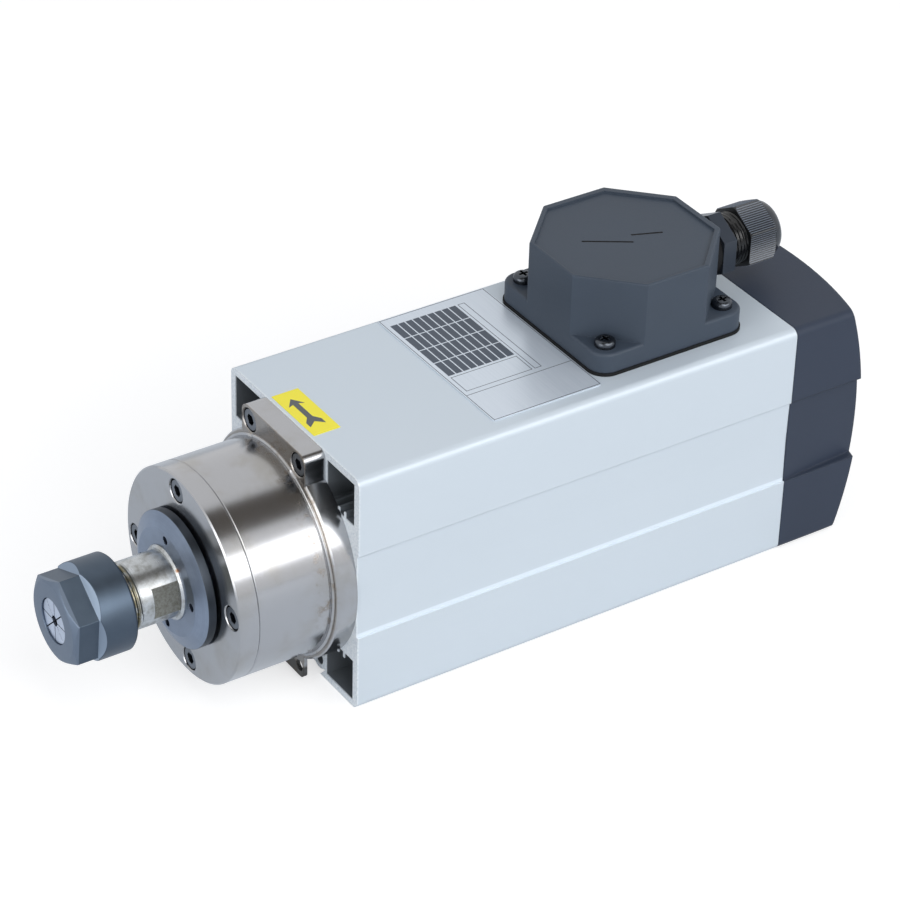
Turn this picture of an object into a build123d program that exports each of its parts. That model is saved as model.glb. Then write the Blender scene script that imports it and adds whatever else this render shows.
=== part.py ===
"""Square air-cooled motor spindle with a collet nose, a fan at the back and a terminal box on top.

The frame: the origin is on the spindle axis at the collet's face, +Y runs back along the axis
to the fan, +Z points up to the terminal box, and +X is to the right seen from the tool's side.
Millimetres throughout.
"""
import math
import os

from build123d import *

# Extruded motor housing
BODY_W = 86.0
BODY_H = 97.4
BODY_LEN = 187.0
BODY_EDGE_R = 3.0
SIDE_WALL = 3.0
TOP_WALL = 2.7
FOOT_WALL = 3.2
STATOR_R = 34.5
TUBE_WALL = 2.5
CHANNEL_IN_X = 22.3
CHANNEL_IN_Z = 28.8
CHANNEL_RIB = 1.2
FIN_T = 1.0
FIN_H = 2.3
FIN_PITCH = 3.9
FIN_COUNT = 3
BAND_HALF = 17.4
BAND_DEEP = 0.9
BAND_CREASE = 0.25
RAIL_MOUTH = 36.4
RAIL_DEEP = 3.5
RAIL_UNDERCUT = 3.2
PORT_R = 2.5
PORT_BOSS_R = 4.2
TOP_PORT_X = 16.2
TOP_PORT_DROP = 5.5
FOOT_PORT_X = 17.6
FOOT_PORT_RISE = 6.7

# Steel nose and its flange
NOSE_R = 40.0
NOSE_LEN = 28.9
FLANGE_SHY = 0.2
FLANGE_T = 8.3
BEAD_R = 0.9
BEAD_PROUD = 0.5
SPIGOT_LEN = 8.0
EAR_HALF = 21.2
EAR_CORNER_R = 3.5
FOOT_EAR_HALF = 20.4
FOOT_EAR_CORNER_R = 2.2
FOOT_EAR_T = 1.6
FOOT_EAR_SHY = 2.1
FOOT_EAR_HOLE_R = 2.2
COVER_T = 7.8
COVER_PILOT = 3.7
COVER_PCR = 34.0
COVER_TURN = 5.5
COVER_SCREWS = 4

# Dust cap, shaft and wrench flats
CAP_R = 25.5
CAP_T = 5.5
CAP_BEVEL_R = 20.0
CAP_BEVEL_T = 2.5
CAP_GAP = 1.0
CAP_HUB_R = 17.4
CAP_PIN_R = 1.6
CAP_PIN_DEEP = 3.5
CAP_PIN_PCR = 17.5
NECK_LEN = 20.5
THREAD_R = 12.1
THREAD_SHOW = 5.0
NECK_R = 12.4
COLLAR_R = 13.8
COLLAR_LEN = 1.2
FLAT_AF = 22.0
FLAT_LEN = 10.0
FLAT_TURN = 8.0

# Collet and its nut
NUT_LEN = 23.5
NUT_R = 17.7
NUT_AF = 30.0
NUT_HEX_LEN = 9.5
NUT_BEVEL_R = 13.2
NUT_BEVEL_LEN = 2.6
NUT_PROUD = 0.6
NUT_MOUTH_R = 8.5
NUT_TURN = 22.8
COLLET_R = 10.5
COLLET_LEN = 31.5
COLLET_BORE_R = 2.0
COLLET_FACE_R = 8.2
COLLET_HEAD = 6.4
COLLET_GROOVE_R = 9.0
COLLET_TAPER = 8.0
COLLET_FRONT_TAPER = 30.0
COLLET_SLOT = 0.45
COLLET_GRIP = 22.0
COLLET_SLOTS = 8
SOCKET_SPARE = 3.0

# Bearings, with the width and the two radii of each size
FRONT_BORE_R = 15.0
FRONT_OUT_R = 27.5
FRONT_BEARING_W = 13.0
FRONT_ROWS = 2
FRONT_BALL_R = 3.6
FRONT_BALLS = 11
REAR_BORE_R = 10.0
REAR_OUT_R = 21.0
REAR_BEARING_W = 12.0
REAR_BALL_R = 3.1
REAR_BALLS = 9
RACE_GAP = 0.05
CAGE_T = 1.4
CAGE_EDGE = 1.0
SPRING_T = 1.5

# Stator, rotor and the back of the shaft
STATOR_LEN = 92.0
STATOR_FROM_FACE = 34.0
STATOR_SLOTS = 18
SLOT_W = 3.6
SLOT_DEEP = 8.0
AIR_GAP = 0.4
ROTOR_R = 18.6
ROTOR_SEAT_R = 13.0
END_RING_T = 6.0
END_RING_SHY = 0.6
WINDING_OVER = 13.0
REAR_SHAFT_R = 8.0
SHOULDER_R = 17.0
SHOULDER_T = 4.0

# Rear bearing plate
END_PLATE_T = 4.0
END_PLATE_R = 36.5
END_PLATE_SPIGOT = 16.5
END_LUG_R = 4.4
END_LUG_IN = 9.4
END_LUG_Z = 25.4

# Fan and fan cover
FAN_R = 35.5
FAN_HUB_R = 12.0
FAN_START = 8.0
FAN_LEN = 16.0
FAN_BLADES = 9
BLADE_T = 1.8
BLADE_ROOT_PITCH = 48.0
BLADE_TIP_PITCH = 28.0
BLADE_ROOT_CHORD = 16.0
BLADE_TIP_CHORD = 22.0
CIRCLIP_T = 1.2
CIRCLIP_R = 10.5
CIRCLIP_GROOVE = 0.6
SHAFT_PAST_CLIP = 1.5
HOOD_DEEP = 39.8
HOOD_DOME_R = 157.0
HOOD_WALL = 2.2
HOOD_BAND_REAR = 4.0
HOOD_FOOT_LIFT = 2.2
HOOD_PORT_IN = 5.6
HOOD_PORT_Z = 23.6
HOOD_BOSS_R = 4.4
HOOD_SEAT = 27.0
GRILLE_R = 33.0
GRILLE_HUB_R = 7.0
GRILLE_SLOT = 3.4
GRILLE_BAR = 2.0
GRILLE_SPOKES = 6
GRILLE_SPOKE_W = 3.0

# Terminal box
BOX_AF = 65.2
BOX_CUT = 19.2
BOX_FROM_FACE = 138.8
BOX_TALL = 33.2
BOX_FOOT_TALL = 8.9
BOX_WALL = 2.4
BOX_CORNER_R = 7.0
BOX_RIM = 1.9
BOX_RIM_DEEP = 0.8
BOX_RIM_SHIFT = 0.7
BOX_SCREW_INSET = 6.8
BOX_BOSS_R = 4.2
BOX_LIP = 5.0
BOX_EDGE_R = 0.7
BOX_FOOT_EDGE_R = 1.2
BOX_MARK_W = 0.8
BOX_MARK_DEEP = 0.4
GASKET_T = 1.2
GASKET_SHOW = 0.5
LEAD_SLOT_X = 26.0
LEAD_SLOT_Y = 12.0
BLOCK_X = 30.0
BLOCK_Y = 15.0
BLOCK_GAP = 0.3
BLOCK_Z = 9.0
STUD_R = 2.0
STUD_PITCH = 9.0
STUD_TALL = 8.0
STUD_NUT_AF = 7.0
STUD_NUT_T = 3.0
LEAD_R = 1.3
LEAD_BEND = 3.0
LEAD_BACK = 4.0
LEAD_LOW_Z = 25.5
EARTH_BACK = 13.0

# Cable gland on the box's rear wall
GLAND_RISE = 17.3
GLAND_STEM_R = 9.9
GLAND_STEM_IN = 11.0
GLAND_WASHER_R = 11.6
GLAND_WASHER_T = 1.5
GLAND_NECK = 2.9
GLAND_HEX_AF = 22.2
GLAND_HEX_T = 5.7
GLAND_THREAD_R = 9.6
GLAND_THREAD_LEN = 11.0
GLAND_THREAD_SHOW = 6.5
GLAND_NUT_AF = 22.6
GLAND_NUT_R = 12.7
GLAND_NUT_LEN = 11.0
GLAND_DOME_LEN = 4.6
GLAND_DOME_R = 10.9
GLAND_MOUTH_R = 6.2
GLAND_TURN = 30.0
GLAND_BORE_R = 6.6
GLAND_SEAL_R = 8.2
GLAND_SEAL_LEN = 12.0
CABLE_R = 5.0
LOCKNUT_AF = 23.0
LOCKNUT_R = 12.2
LOCKNUT_T = 4.5

# Plates on the top face
PLATE_X = 76.0
PLATE_Y = 45.9
PLATE_T = 0.4
PLATE_GAP = 0.3
PLATE_OFF_X = -2.4
LABEL_X = 28.6
LABEL_Y = 10.7
LABEL_T = 0.2
LABEL_FROM_FACE = 1.6
LABEL_OFF_X = -3.3

# Screws, as half the thread size, head and socket
CAP_SCREW_R = 2.5
CAP_SCREW_HEAD_R = 4.0
CAP_SCREW_HEAD_T = 5.0
CAP_SCREW_LEN = 14.0
CAP_SCREW_HEX = 4.0
CAP_SCREW_SOCKET = 2.6
PAN_SCREW_R = 2.0
PAN_SCREW_HEAD_R = 3.8
PAN_SCREW_HEAD_T = 2.9
PAN_SCREW_SLOT = 1.0
HOLE_SLACK = 0.3
COUNTERBORE_SLACK = 0.45
COUNTERBORE_EDGE = 0.35
COUNTERBORE_SPARE = 0.5

# Clearances between pieces that move on each other
FIT = 0.05
RUN_GAP = 0.5

# Where each piece starts along the axis
NUT_FACE = -NUT_PROUD
NUT_BACK = NUT_FACE + NUT_LEN
CAP_FACE = NUT_BACK + NECK_LEN
CAP_BACK = CAP_FACE + CAP_T
COVER_FACE = CAP_BACK + CAP_GAP
NOSE_FACE = COVER_FACE + COVER_T
BEARING_FACE = NOSE_FACE + COVER_PILOT
BEARING_BACK = BEARING_FACE + FRONT_ROWS * FRONT_BEARING_W
FLANGE_FACE = NOSE_FACE + NOSE_LEN
BODY_FACE = FLANGE_FACE + FLANGE_T
BODY_BACK = BODY_FACE + BODY_LEN
STATOR_FACE = BODY_FACE + STATOR_FROM_FACE
STATOR_BACK = STATOR_FACE + STATOR_LEN
REAR_RACE_BACK = BODY_BACK - SPRING_T - FIT
REAR_RACE_FACE = REAR_RACE_BACK - REAR_BEARING_W
FAN_FACE = BODY_BACK + FAN_START
FAN_BACK = FAN_FACE + FAN_LEN
HOOD_BACK = BODY_BACK + HOOD_DEEP
SHAFT_FACE = COLLET_HEAD + RUN_GAP
SHAFT_BACK = FAN_BACK + CIRCLIP_T + SHAFT_PAST_CLIP

# Heights
TOP = BODY_H / 2
FOOT = -BODY_H / 2
RAIL_CEILING = FOOT + RAIL_DEEP
TOP_PORT_Z = TOP - TOP_PORT_DROP
FOOT_PORT_Z = FOOT + FOOT_PORT_RISE
GASKET_TOP = TOP + GASKET_T
BOX_LEDGE = TOP + BOX_FOOT_TALL
BOX_TOP = TOP + BOX_TALL
GLAND_Z = TOP + GLAND_RISE
FOOT_EAR_DROP = -FOOT - FOOT_EAR_SHY
GASKET_OPENING = BOX_AF - 4 * BOX_LIP
BOX_Y = BODY_FACE + BOX_FROM_FACE
TUBE_R = STATOR_R + TUBE_WALL
FLANGE_R = BODY_W / 2 - FLANGE_SHY
HOOD_PORT_X = BODY_W / 2 - HOOD_PORT_IN
END_LUG_X = HOOD_PORT_X - END_LUG_IN
END_PLATE_ROOM = BODY_W / 2 - BAND_DEEP - BAND_CREASE - HOOD_WALL - RUN_GAP


def front(y):
    """A drawing plane that faces the tool at this place on the axis, with X right and Z up."""
    return Plane(origin=(0, y, 0), x_dir=(1, 0, 0), z_dir=(0, -1, 0))


def along(sketch, y0, y1):
    """A sketch of the XZ section, carried along the axis from y0 to y1."""
    return extrude(front(y1) * sketch, y1 - y0)


def rod(radius, y0, y1, x=0.0, z=0.0):
    """A round bar parallel to the axis."""
    return along(Pos(x, z) * Circle(radius), y0, y1)


def post(radius, z0, z1, x, y):
    """A round bar that stands up along Z."""
    return extrude(Plane.XY.offset(z0) * Pos(x, y) * Circle(radius), z1 - z0)


def turned(*points):
    """A solid turned about the axis from an outline of (radius, y) points."""
    return revolve(make_face(Polyline(*points, close=True)), Axis.Y)


def ring(inner, outer, y0, y1):
    """A plain turned ring."""
    return turned((inner, y0), (outer, y0), (outer, y1), (inner, y1))


def hexagon(across_flats, turn=0.0):
    """A hexagon by its width across flats, with its first corner at the given angle."""
    return Rot(0, 0, turn) * RegularPolygon(across_flats / math.sqrt(3), 6)


def on_circle(radius, count, turn=0.0):
    """The (x, z) centres of a ring of holes."""
    angles = [math.radians(turn + 360.0 * i / count) for i in range(count)]
    return [(radius * math.cos(a), radius * math.sin(a)) for a in angles]


def four_corners(x, z):
    """The four mirrored places of a point."""
    return [(sx * x, sz * z) for sx in (-1, 1) for sz in (-1, 1)]


TOP_PORTS = [(-TOP_PORT_X, TOP_PORT_Z), (TOP_PORT_X, TOP_PORT_Z)]
FOOT_PORTS = [(-FOOT_PORT_X, FOOT_PORT_Z), (FOOT_PORT_X, FOOT_PORT_Z)]
HOOD_PORTS = four_corners(HOOD_PORT_X, HOOD_PORT_Z)
END_PORTS = four_corners(END_LUG_X, END_LUG_Z)
COVER_HOLES = on_circle(COVER_PCR, COVER_SCREWS, COVER_TURN)
BOX_SCREW_OUT = BOX_AF / 2 - BOX_SCREW_INSET
EARTH_Y = BOX_Y + EARTH_BACK
LONG_MARK = (-5.4, -15.4, 4.5, 0.4)
SHORT_MARK = (0.0, 2.5, 4.3, 13.5)
BOX_SCREW_PLACES = [(x, BOX_Y + y) for x, y in four_corners(BOX_SCREW_OUT, BOX_SCREW_OUT)]


def cap_screw(x, z, seat, length):
    """A socket-head screw that enters along +Y, with the underside of its head at the seat."""
    screw = rod(CAP_SCREW_HEAD_R, seat - CAP_SCREW_HEAD_T, seat, x, z)
    screw += rod(CAP_SCREW_R, seat, seat + length, x, z)
    socket = along(Pos(x, z) * hexagon(CAP_SCREW_HEX), seat - CAP_SCREW_HEAD_T,
                   seat - CAP_SCREW_HEAD_T + CAP_SCREW_SOCKET)
    return screw - socket


def counterbore(x, z, face, deep, through):
    """The stepped hole for a socket-head screw whose head sinks into a face."""
    radius = CAP_SCREW_HEAD_R + COUNTERBORE_SLACK
    edge = turned(
        (0, face - 1), (radius + COUNTERBORE_EDGE + 1, face - 1), (radius, face + COUNTERBORE_EDGE),
        (0, face + COUNTERBORE_EDGE))
    wide = rod(radius, face, face + deep, x, z) + Pos(x, 0, z) * edge
    return wide + rod(CAP_SCREW_R + HOLE_SLACK, face, through, x, z)


def side_band(deep, crease):
    """The shallow recess along both long sides, with its faint ridge line at mid height."""
    edge = BODY_W / 2
    half = make_face(Polyline(
        (edge + 1, BAND_HALF), (edge - deep, BAND_HALF), (edge - deep - crease, 0),
        (edge - deep, -BAND_HALF), (edge + 1, -BAND_HALF), close=True))
    return half + mirror(half, Plane.YZ)


def body_outline():
    """The housing's outer section, with its side bands but not its rail groove."""
    return RectangleRounded(BODY_W, BODY_H, BODY_EDGE_R) - side_band(BAND_DEEP, BAND_CREASE)


def rail_groove():
    """The undercut groove along the foot that slides onto a mounting rail."""
    mouth = RAIL_MOUTH / 2
    root = mouth + RAIL_UNDERCUT
    groove = make_face(Polyline(
        (-mouth, FOOT - 1), (-mouth, FOOT), (-root, RAIL_CEILING), (root, RAIL_CEILING),
        (mouth, FOOT), (mouth, FOOT - 1), close=True))
    for x, z in FOOT_PORTS:
        groove -= Pos(x, z) * Circle(PORT_BOSS_R)
    return groove


def corner_channel():
    """The air channel in the top right corner, with its short cooling fins."""
    out_x = BODY_W / 2 - SIDE_WALL
    out_z = TOP - TOP_WALL
    wide = out_x - CHANNEL_IN_X
    tall = out_z - CHANNEL_IN_Z
    channel = Pos(CHANNEL_IN_X + wide / 2, CHANNEL_IN_Z + tall / 2) * Rectangle(wide, tall)
    for i in range(FIN_COUNT):
        x = CHANNEL_IN_X + FIN_PITCH * (i + 1)
        channel -= Pos(x, CHANNEL_IN_Z) * Rectangle(FIN_T, 2 * FIN_H)
    return channel - Circle(TUBE_R)


def middle_channel(out_z, ports):
    """The flat space between two ribs, above or below the stator tube."""
    wide = 2 * (CHANNEL_IN_X - CHANNEL_RIB)
    inner_z = math.copysign(CHANNEL_IN_Z, out_z)
    space = Pos(0, (out_z + inner_z) / 2) * Rectangle(wide, abs(out_z - inner_z))
    space -= Circle(TUBE_R)
    for x, z in ports:
        space -= Pos(x, z) * Circle(PORT_BOSS_R)
    return space


def housing_section():
    """The whole extruded section of the motor housing."""
    section = body_outline() - rail_groove() - Circle(STATOR_R)
    upper = corner_channel()
    lower = mirror(upper, Plane.XZ)
    for channel in (upper, lower):
        section -= channel
        section -= mirror(channel, Plane.YZ)
    section -= middle_channel(TOP - TOP_WALL, TOP_PORTS)
    section -= middle_channel(RAIL_CEILING + FOOT_WALL / 2, FOOT_PORTS)
    for x, z in TOP_PORTS + FOOT_PORTS:
        section -= Pos(x, z) * Circle(PORT_R)
    return section


def motor_housing():
    """The extrusion cut to length, with its drilled ports and the slot for the leads."""
    body = along(housing_section(), BODY_FACE, BODY_BACK)
    for x, z in HOOD_PORTS + END_PORTS:
        body -= rod(PAN_SCREW_R, BODY_BACK - 14, BODY_BACK + 1, x, z)
    for x, y in BOX_SCREW_PLACES:
        body -= post(PAN_SCREW_R, TOP - TOP_WALL - 1, TOP + 1, x, y)
    slot = Pos(0, BOX_Y) * RectangleRounded(LEAD_SLOT_X, LEAD_SLOT_Y, LEAD_SLOT_Y / 3)
    body -= extrude(Plane.XY.offset(STATOR_R / 2) * slot, TOP)
    body -= post(PAN_SCREW_R, TOP - TOP_WALL - 1, TOP + 1, 0, EARTH_Y)
    return body


def nose_housing():
    """The ground steel nose, its flange, the two ears and the spigot that centres it."""
    back = BODY_FACE + SPIGOT_LEN
    nose = turned(
        (FRONT_OUT_R, NOSE_FACE), (NOSE_R - 0.4, NOSE_FACE), (NOSE_R, NOSE_FACE + 0.4),
        (NOSE_R, FLANGE_FACE), (FLANGE_R - 0.8, FLANGE_FACE), (FLANGE_R, FLANGE_FACE + 0.8),
        (FLANGE_R, BODY_FACE), (STATOR_R, BODY_FACE), (STATOR_R, back - 0.5),
        (STATOR_R - 0.5, back), (FRONT_OUT_R, back), (FRONT_OUT_R, BEARING_BACK + 6),
        (SHOULDER_R + 6, BEARING_BACK + 4), (SHOULDER_R + 6, BEARING_BACK),
        (FRONT_OUT_R, BEARING_BACK))
    bead = revolve(Pos(NOSE_R + BEAD_PROUD, FLANGE_FACE) * Circle(BEAD_R), Axis.Y)
    ear = Pos(0, (TOP + STATOR_R / 2) / 2) * RectangleRounded(
        2 * EAR_HALF, TOP - STATOR_R / 2, EAR_CORNER_R)
    foot_ear = Pos(0, -(FOOT_EAR_DROP + STATOR_R / 2) / 2) * RectangleRounded(
        2 * FOOT_EAR_HALF, FOOT_EAR_DROP - STATOR_R / 2, FOOT_EAR_CORNER_R)
    hollow = Circle(STATOR_R)
    nose += bead
    nose += along(ear - hollow, FLANGE_FACE, BODY_FACE)
    nose += along(foot_ear - hollow, FLANGE_FACE, FLANGE_FACE + FOOT_EAR_T)
    for x, z in TOP_PORTS:
        nose -= counterbore(x, z, FLANGE_FACE, CAP_SCREW_HEAD_T + COUNTERBORE_SPARE, BODY_FACE + 1)
    for x, z in FOOT_PORTS:
        nose -= rod(FOOT_EAR_HOLE_R, FLANGE_FACE - 1, BODY_FACE + 1, x, z)
    for x, z in COVER_HOLES:
        nose -= rod(CAP_SCREW_R, NOSE_FACE - 1, NOSE_FACE + 15, x, z)
    return nose


def front_cover():
    """The round cover that holds the front bearings in the nose."""
    bore = CAP_HUB_R + RUN_GAP
    cover = turned(
        (bore, COVER_FACE), (NOSE_R - 0.6, COVER_FACE), (NOSE_R, COVER_FACE + 0.6),
        (NOSE_R, NOSE_FACE - 0.4), (NOSE_R - 0.4, NOSE_FACE), (FRONT_OUT_R, NOSE_FACE),
        (FRONT_OUT_R, BEARING_FACE), (FRONT_OUT_R - 3, BEARING_FACE),
        (FRONT_OUT_R - 3, NOSE_FACE), (bore, NOSE_FACE))
    for x, z in COVER_HOLES:
        cover -= counterbore(x, z, COVER_FACE, CAP_SCREW_HEAD_T + COUNTERBORE_SPARE, NOSE_FACE + 1)
    return cover


def dust_cap():
    """The bevelled cap on the shaft, with four pin holes for a pin wrench."""
    cap = turned(
        (COLLAR_R, CAP_FACE), (CAP_BEVEL_R, CAP_FACE), (CAP_R, CAP_FACE + CAP_BEVEL_T),
        (CAP_R, CAP_BACK), (CAP_HUB_R, CAP_BACK), (CAP_HUB_R, BEARING_FACE),
        (FRONT_BORE_R, BEARING_FACE), (FRONT_BORE_R, COVER_FACE), (COLLAR_R, COVER_FACE))
    for x, z in on_circle(CAP_PIN_PCR, 4):
        cap -= rod(CAP_PIN_R, CAP_FACE - 1, CAP_FACE + CAP_PIN_DEEP, x, z)
    return cap


def collet_radius(y):
    """The collet's radius on its long taper at this place on the axis."""
    return COLLET_R - (y - COLLET_HEAD) * math.tan(math.radians(COLLET_TAPER))


def spindle_shaft():
    """The hollow-nosed shaft, from its taper socket to the fan seat."""
    socket_back = COLLET_LEN + SOCKET_SPARE
    slack = FIT / math.cos(math.radians(COLLET_TAPER))
    mouth = collet_radius(SHAFT_FACE) + slack
    root = collet_radius(socket_back) + slack
    rotor_from = STATOR_FACE - END_RING_T
    rotor_to = STATOR_BACK + END_RING_T
    neck_from = NUT_BACK + THREAD_SHOW
    clip_groove = REAR_SHAFT_R - CIRCLIP_GROOVE
    shaft = turned(
        (0, socket_back + root * 0.4), (root, socket_back), (mouth, SHAFT_FACE),
        (THREAD_R - 1, SHAFT_FACE), (THREAD_R, SHAFT_FACE + 1), (THREAD_R, neck_from - 0.3),
        (NECK_R, neck_from), (NECK_R, CAP_FACE - COLLAR_LEN), (COLLAR_R - 0.8, CAP_FACE - COLLAR_LEN),
        (COLLAR_R, CAP_FACE - COLLAR_LEN + 0.8), (COLLAR_R, COVER_FACE), (FRONT_BORE_R, COVER_FACE),
        (FRONT_BORE_R, BEARING_BACK), (SHOULDER_R, BEARING_BACK),
        (SHOULDER_R, BEARING_BACK + SHOULDER_T), (ROTOR_SEAT_R, BEARING_BACK + SHOULDER_T + 2),
        (ROTOR_SEAT_R, rotor_from), (ROTOR_SEAT_R, rotor_to), (REAR_BORE_R + 2, rotor_to + 2),
        (REAR_BORE_R + 2, REAR_RACE_FACE), (REAR_BORE_R, REAR_RACE_FACE),
        (REAR_BORE_R, REAR_RACE_BACK), (REAR_SHAFT_R, REAR_RACE_BACK),
        (REAR_SHAFT_R, FAN_BACK), (clip_groove, FAN_BACK), (clip_groove, FAN_BACK + CIRCLIP_T),
        (REAR_SHAFT_R, FAN_BACK + CIRCLIP_T), (REAR_SHAFT_R, SHAFT_BACK - 0.5),
        (REAR_SHAFT_R - 0.5, SHAFT_BACK), (0, SHAFT_BACK))
    flat_back = CAP_FACE - COLLAR_LEN
    for side in (-1, 1):
        waste = Pos(side * (FLAT_AF / 2 + NECK_R / 2), 0) * Rectangle(NECK_R, 3 * NECK_R)
        shaft -= along(Rot(0, 0, FLAT_TURN) * waste, flat_back - FLAT_LEN, flat_back)
    return shaft


def collet():
    """The spring collet, slit from the front and from the back by turns."""
    front_slope = math.tan(math.radians(COLLET_FRONT_TAPER))
    cone_back = (COLLET_R - 0.4 - COLLET_FACE_R) / front_slope
    groove_back = COLLET_HEAD - 1
    body = turned(
        (COLLET_BORE_R, 0), (COLLET_FACE_R, 0), (COLLET_R - 0.4, cone_back),
        (COLLET_GROOVE_R, cone_back + 0.2), (COLLET_GROOVE_R, groove_back), (COLLET_R, COLLET_HEAD),
        (collet_radius(COLLET_LEN), COLLET_LEN), (COLLET_BORE_R + 2.5, COLLET_LEN),
        (COLLET_BORE_R, COLLET_GRIP))
    step = 180.0 / COLLET_SLOTS
    for i in range(COLLET_SLOTS):
        blade = Pos(COLLET_R / 2 + COLLET_BORE_R / 2, 0) * Rectangle(COLLET_R, COLLET_SLOT)
        first = Rot(0, 0, 2 * i * step) * blade
        second = Rot(0, 0, (2 * i + 1) * step) * blade
        body -= along(first, -1, COLLET_LEN * 0.8)
        body -= along(second, COLLET_LEN * 0.2, COLLET_LEN + 1)
    return body


def collet_nut():
    """The clamping nut: a chamfered hexagon in front, a round skirt behind."""
    front_slope = math.tan(math.radians(COLLET_FRONT_TAPER))
    slack = FIT / math.cos(math.radians(COLLET_FRONT_TAPER))
    cone_from = (NUT_MOUTH_R - slack - COLLET_FACE_R) / front_slope
    hex_back = NUT_FACE + NUT_HEX_LEN
    cone_back = (COLLET_R - 0.4 - COLLET_FACE_R) / front_slope
    rib_back = COLLET_HEAD - 1 - 2 * FIT
    outer = turned(
        (0, NUT_FACE), (NUT_BEVEL_R, NUT_FACE), (NUT_R, NUT_FACE + NUT_BEVEL_LEN),
        (NUT_R, NUT_BACK - 0.8), (NUT_R - 0.8, NUT_BACK), (0, NUT_BACK))
    hollow = turned(
        (0, NUT_FACE - 1), (NUT_MOUTH_R + 1.2, NUT_FACE - 1), (NUT_MOUTH_R, NUT_FACE + 0.2),
        (NUT_MOUTH_R, cone_from),
        (COLLET_R - 0.4 + slack, cone_back), (COLLET_GROOVE_R + 0.3, cone_back + 0.3),
        (COLLET_GROOVE_R + 0.3, rib_back), (THREAD_R + FIT, rib_back), (THREAD_R + FIT, NUT_BACK + 1),
        (0, NUT_BACK + 1))
    waste = Circle(2 * NUT_R) - hexagon(NUT_AF, NUT_TURN)
    return outer - along(waste, NUT_FACE - 1, hex_back) - hollow


def group(pieces):
    """Several separate solids kept together under one name."""
    solids = []
    for piece in pieces:
        solids += piece.solids()
    return Compound(children=solids)


def race(inner, outer, y0, y1, ball_r, groove_side):
    """One bearing ring with its ball groove, on the inside or the outside."""
    pitch_r = (inner[0] + outer[1]) / 2
    bounds = inner if groove_side == "outside" else outer
    blank = ring(bounds[0], bounds[1], y0, y1)
    groove = revolve(Pos(pitch_r, (y0 + y1) / 2) * Circle(ball_r + RACE_GAP), Axis.Y)
    return blank - groove


def bearing_set(bore_r, out_r, width, ball_r, count, starts):
    """The four kinds of piece in a row of ball bearings that start at the given places."""
    depth = (out_r - bore_r) * 0.3
    inner = (bore_r, bore_r + depth)
    outer = (out_r - depth, out_r)
    pitch_r = (bore_r + out_r) / 2
    inner_rings = [race(inner, outer, y, y + width, ball_r, "outside") for y in starts]
    outer_rings = [race(inner, outer, y, y + width, ball_r, "inside") for y in starts]
    balls = []
    cages = []
    for y in starts:
        middle = y + width / 2
        half = ball_r + CAGE_EDGE
        cage = ring(pitch_r - CAGE_T / 2, pitch_r + CAGE_T / 2, middle - half, middle + half)
        for i in range(count):
            turn = Rot(0, 360.0 * i / count, 0)
            balls.append(turn * Pos(pitch_r, middle, 0) * Sphere(ball_r))
            cage -= turn * Pos(pitch_r, middle, 0) * Rot(0, 90, 0) * Cylinder(ball_r + RACE_GAP, 8)
        cages.append(cage)
    return group(inner_rings), group(outer_rings), group(balls), group(cages)


def stator_core():
    """The slotted stack of stator plates."""
    section = Circle(STATOR_R) - Circle(ROTOR_R + AIR_GAP)
    for slot in stator_slots():
        section -= slot
    return along(section, STATOR_FACE, STATOR_BACK)


def stator_slots():
    """The open slots round the stator's bore."""
    inner = ROTOR_R + AIR_GAP + 1.5
    blank = Pos(inner + SLOT_DEEP / 2, 0) * Rectangle(SLOT_DEEP, SLOT_W)
    return [Rot(0, 0, 360.0 * i / STATOR_SLOTS) * blank for i in range(STATOR_SLOTS)]


def stator_windings():
    """The copper in the slots, joined by the two rings of end turns."""
    inner = ROTOR_R + AIR_GAP + 2.0
    copper = Part()
    for slot in stator_slots():
        copper += along(slot, STATOR_FACE, STATOR_BACK)
    for y0, y1 in ((STATOR_FACE - WINDING_OVER, STATOR_FACE), (STATOR_BACK, STATOR_BACK + WINDING_OVER)):
        end = ring(inner, inner + SLOT_DEEP + 2, y0, y1)
        copper += end
    return copper


def rotor_core():
    """The rotor's stack of plates on the shaft."""
    return ring(ROTOR_SEAT_R, ROTOR_R, STATOR_FACE, STATOR_BACK)


def rotor_end_rings():
    """The cast rings that short the rotor bars at both ends."""
    outer = ROTOR_R - END_RING_SHY
    return (ring(ROTOR_SEAT_R, outer, STATOR_FACE - END_RING_T, STATOR_FACE)
            + ring(ROTOR_SEAT_R, outer, STATOR_BACK, STATOR_BACK + END_RING_T))


def rear_bearing_plate():
    """The cast plate that closes the stator tube and holds the rear bearing."""
    face = BODY_BACK - END_PLATE_SPIGOT
    flange_back = BODY_BACK + END_PLATE_T
    plate = turned(
        (REAR_OUT_R, face), (STATOR_R - 0.5, face), (STATOR_R, face + 0.5), (STATOR_R, BODY_BACK),
        (END_PLATE_R, BODY_BACK), (END_PLATE_R, flange_back), (REAR_SHAFT_R + 4, flange_back),
        (REAR_SHAFT_R + 4, BODY_BACK), (REAR_OUT_R, BODY_BACK))
    lugs = Sketch()
    for x, z in END_PORTS:
        lugs += make_hull((Pos(x, z) * Circle(END_LUG_R) + Pos(x / 2, z / 2) * Circle(2 * END_LUG_R)).edges())
    plate += along(lugs - Circle(STATOR_R - 1), BODY_BACK, flange_back)
    plate &= along(Rectangle(2 * END_PLATE_ROOM, BODY_H), face, flange_back)
    for x, z in HOOD_PORTS:
        plate -= rod(HOOD_BOSS_R + HOLE_SLACK, BODY_BACK, flange_back + 1, x, z)
    for x, z in END_PORTS:
        plate -= rod(PAN_SCREW_R + HOLE_SLACK, face - 1, flange_back + 1, x, z)
    return plate


def preload_spring():
    """The wave washer behind the rear bearing's outer ring, drawn flat under load."""
    return ring(REAR_OUT_R - 3, REAR_OUT_R - 0.3, BODY_BACK - SPRING_T, BODY_BACK)


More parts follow.
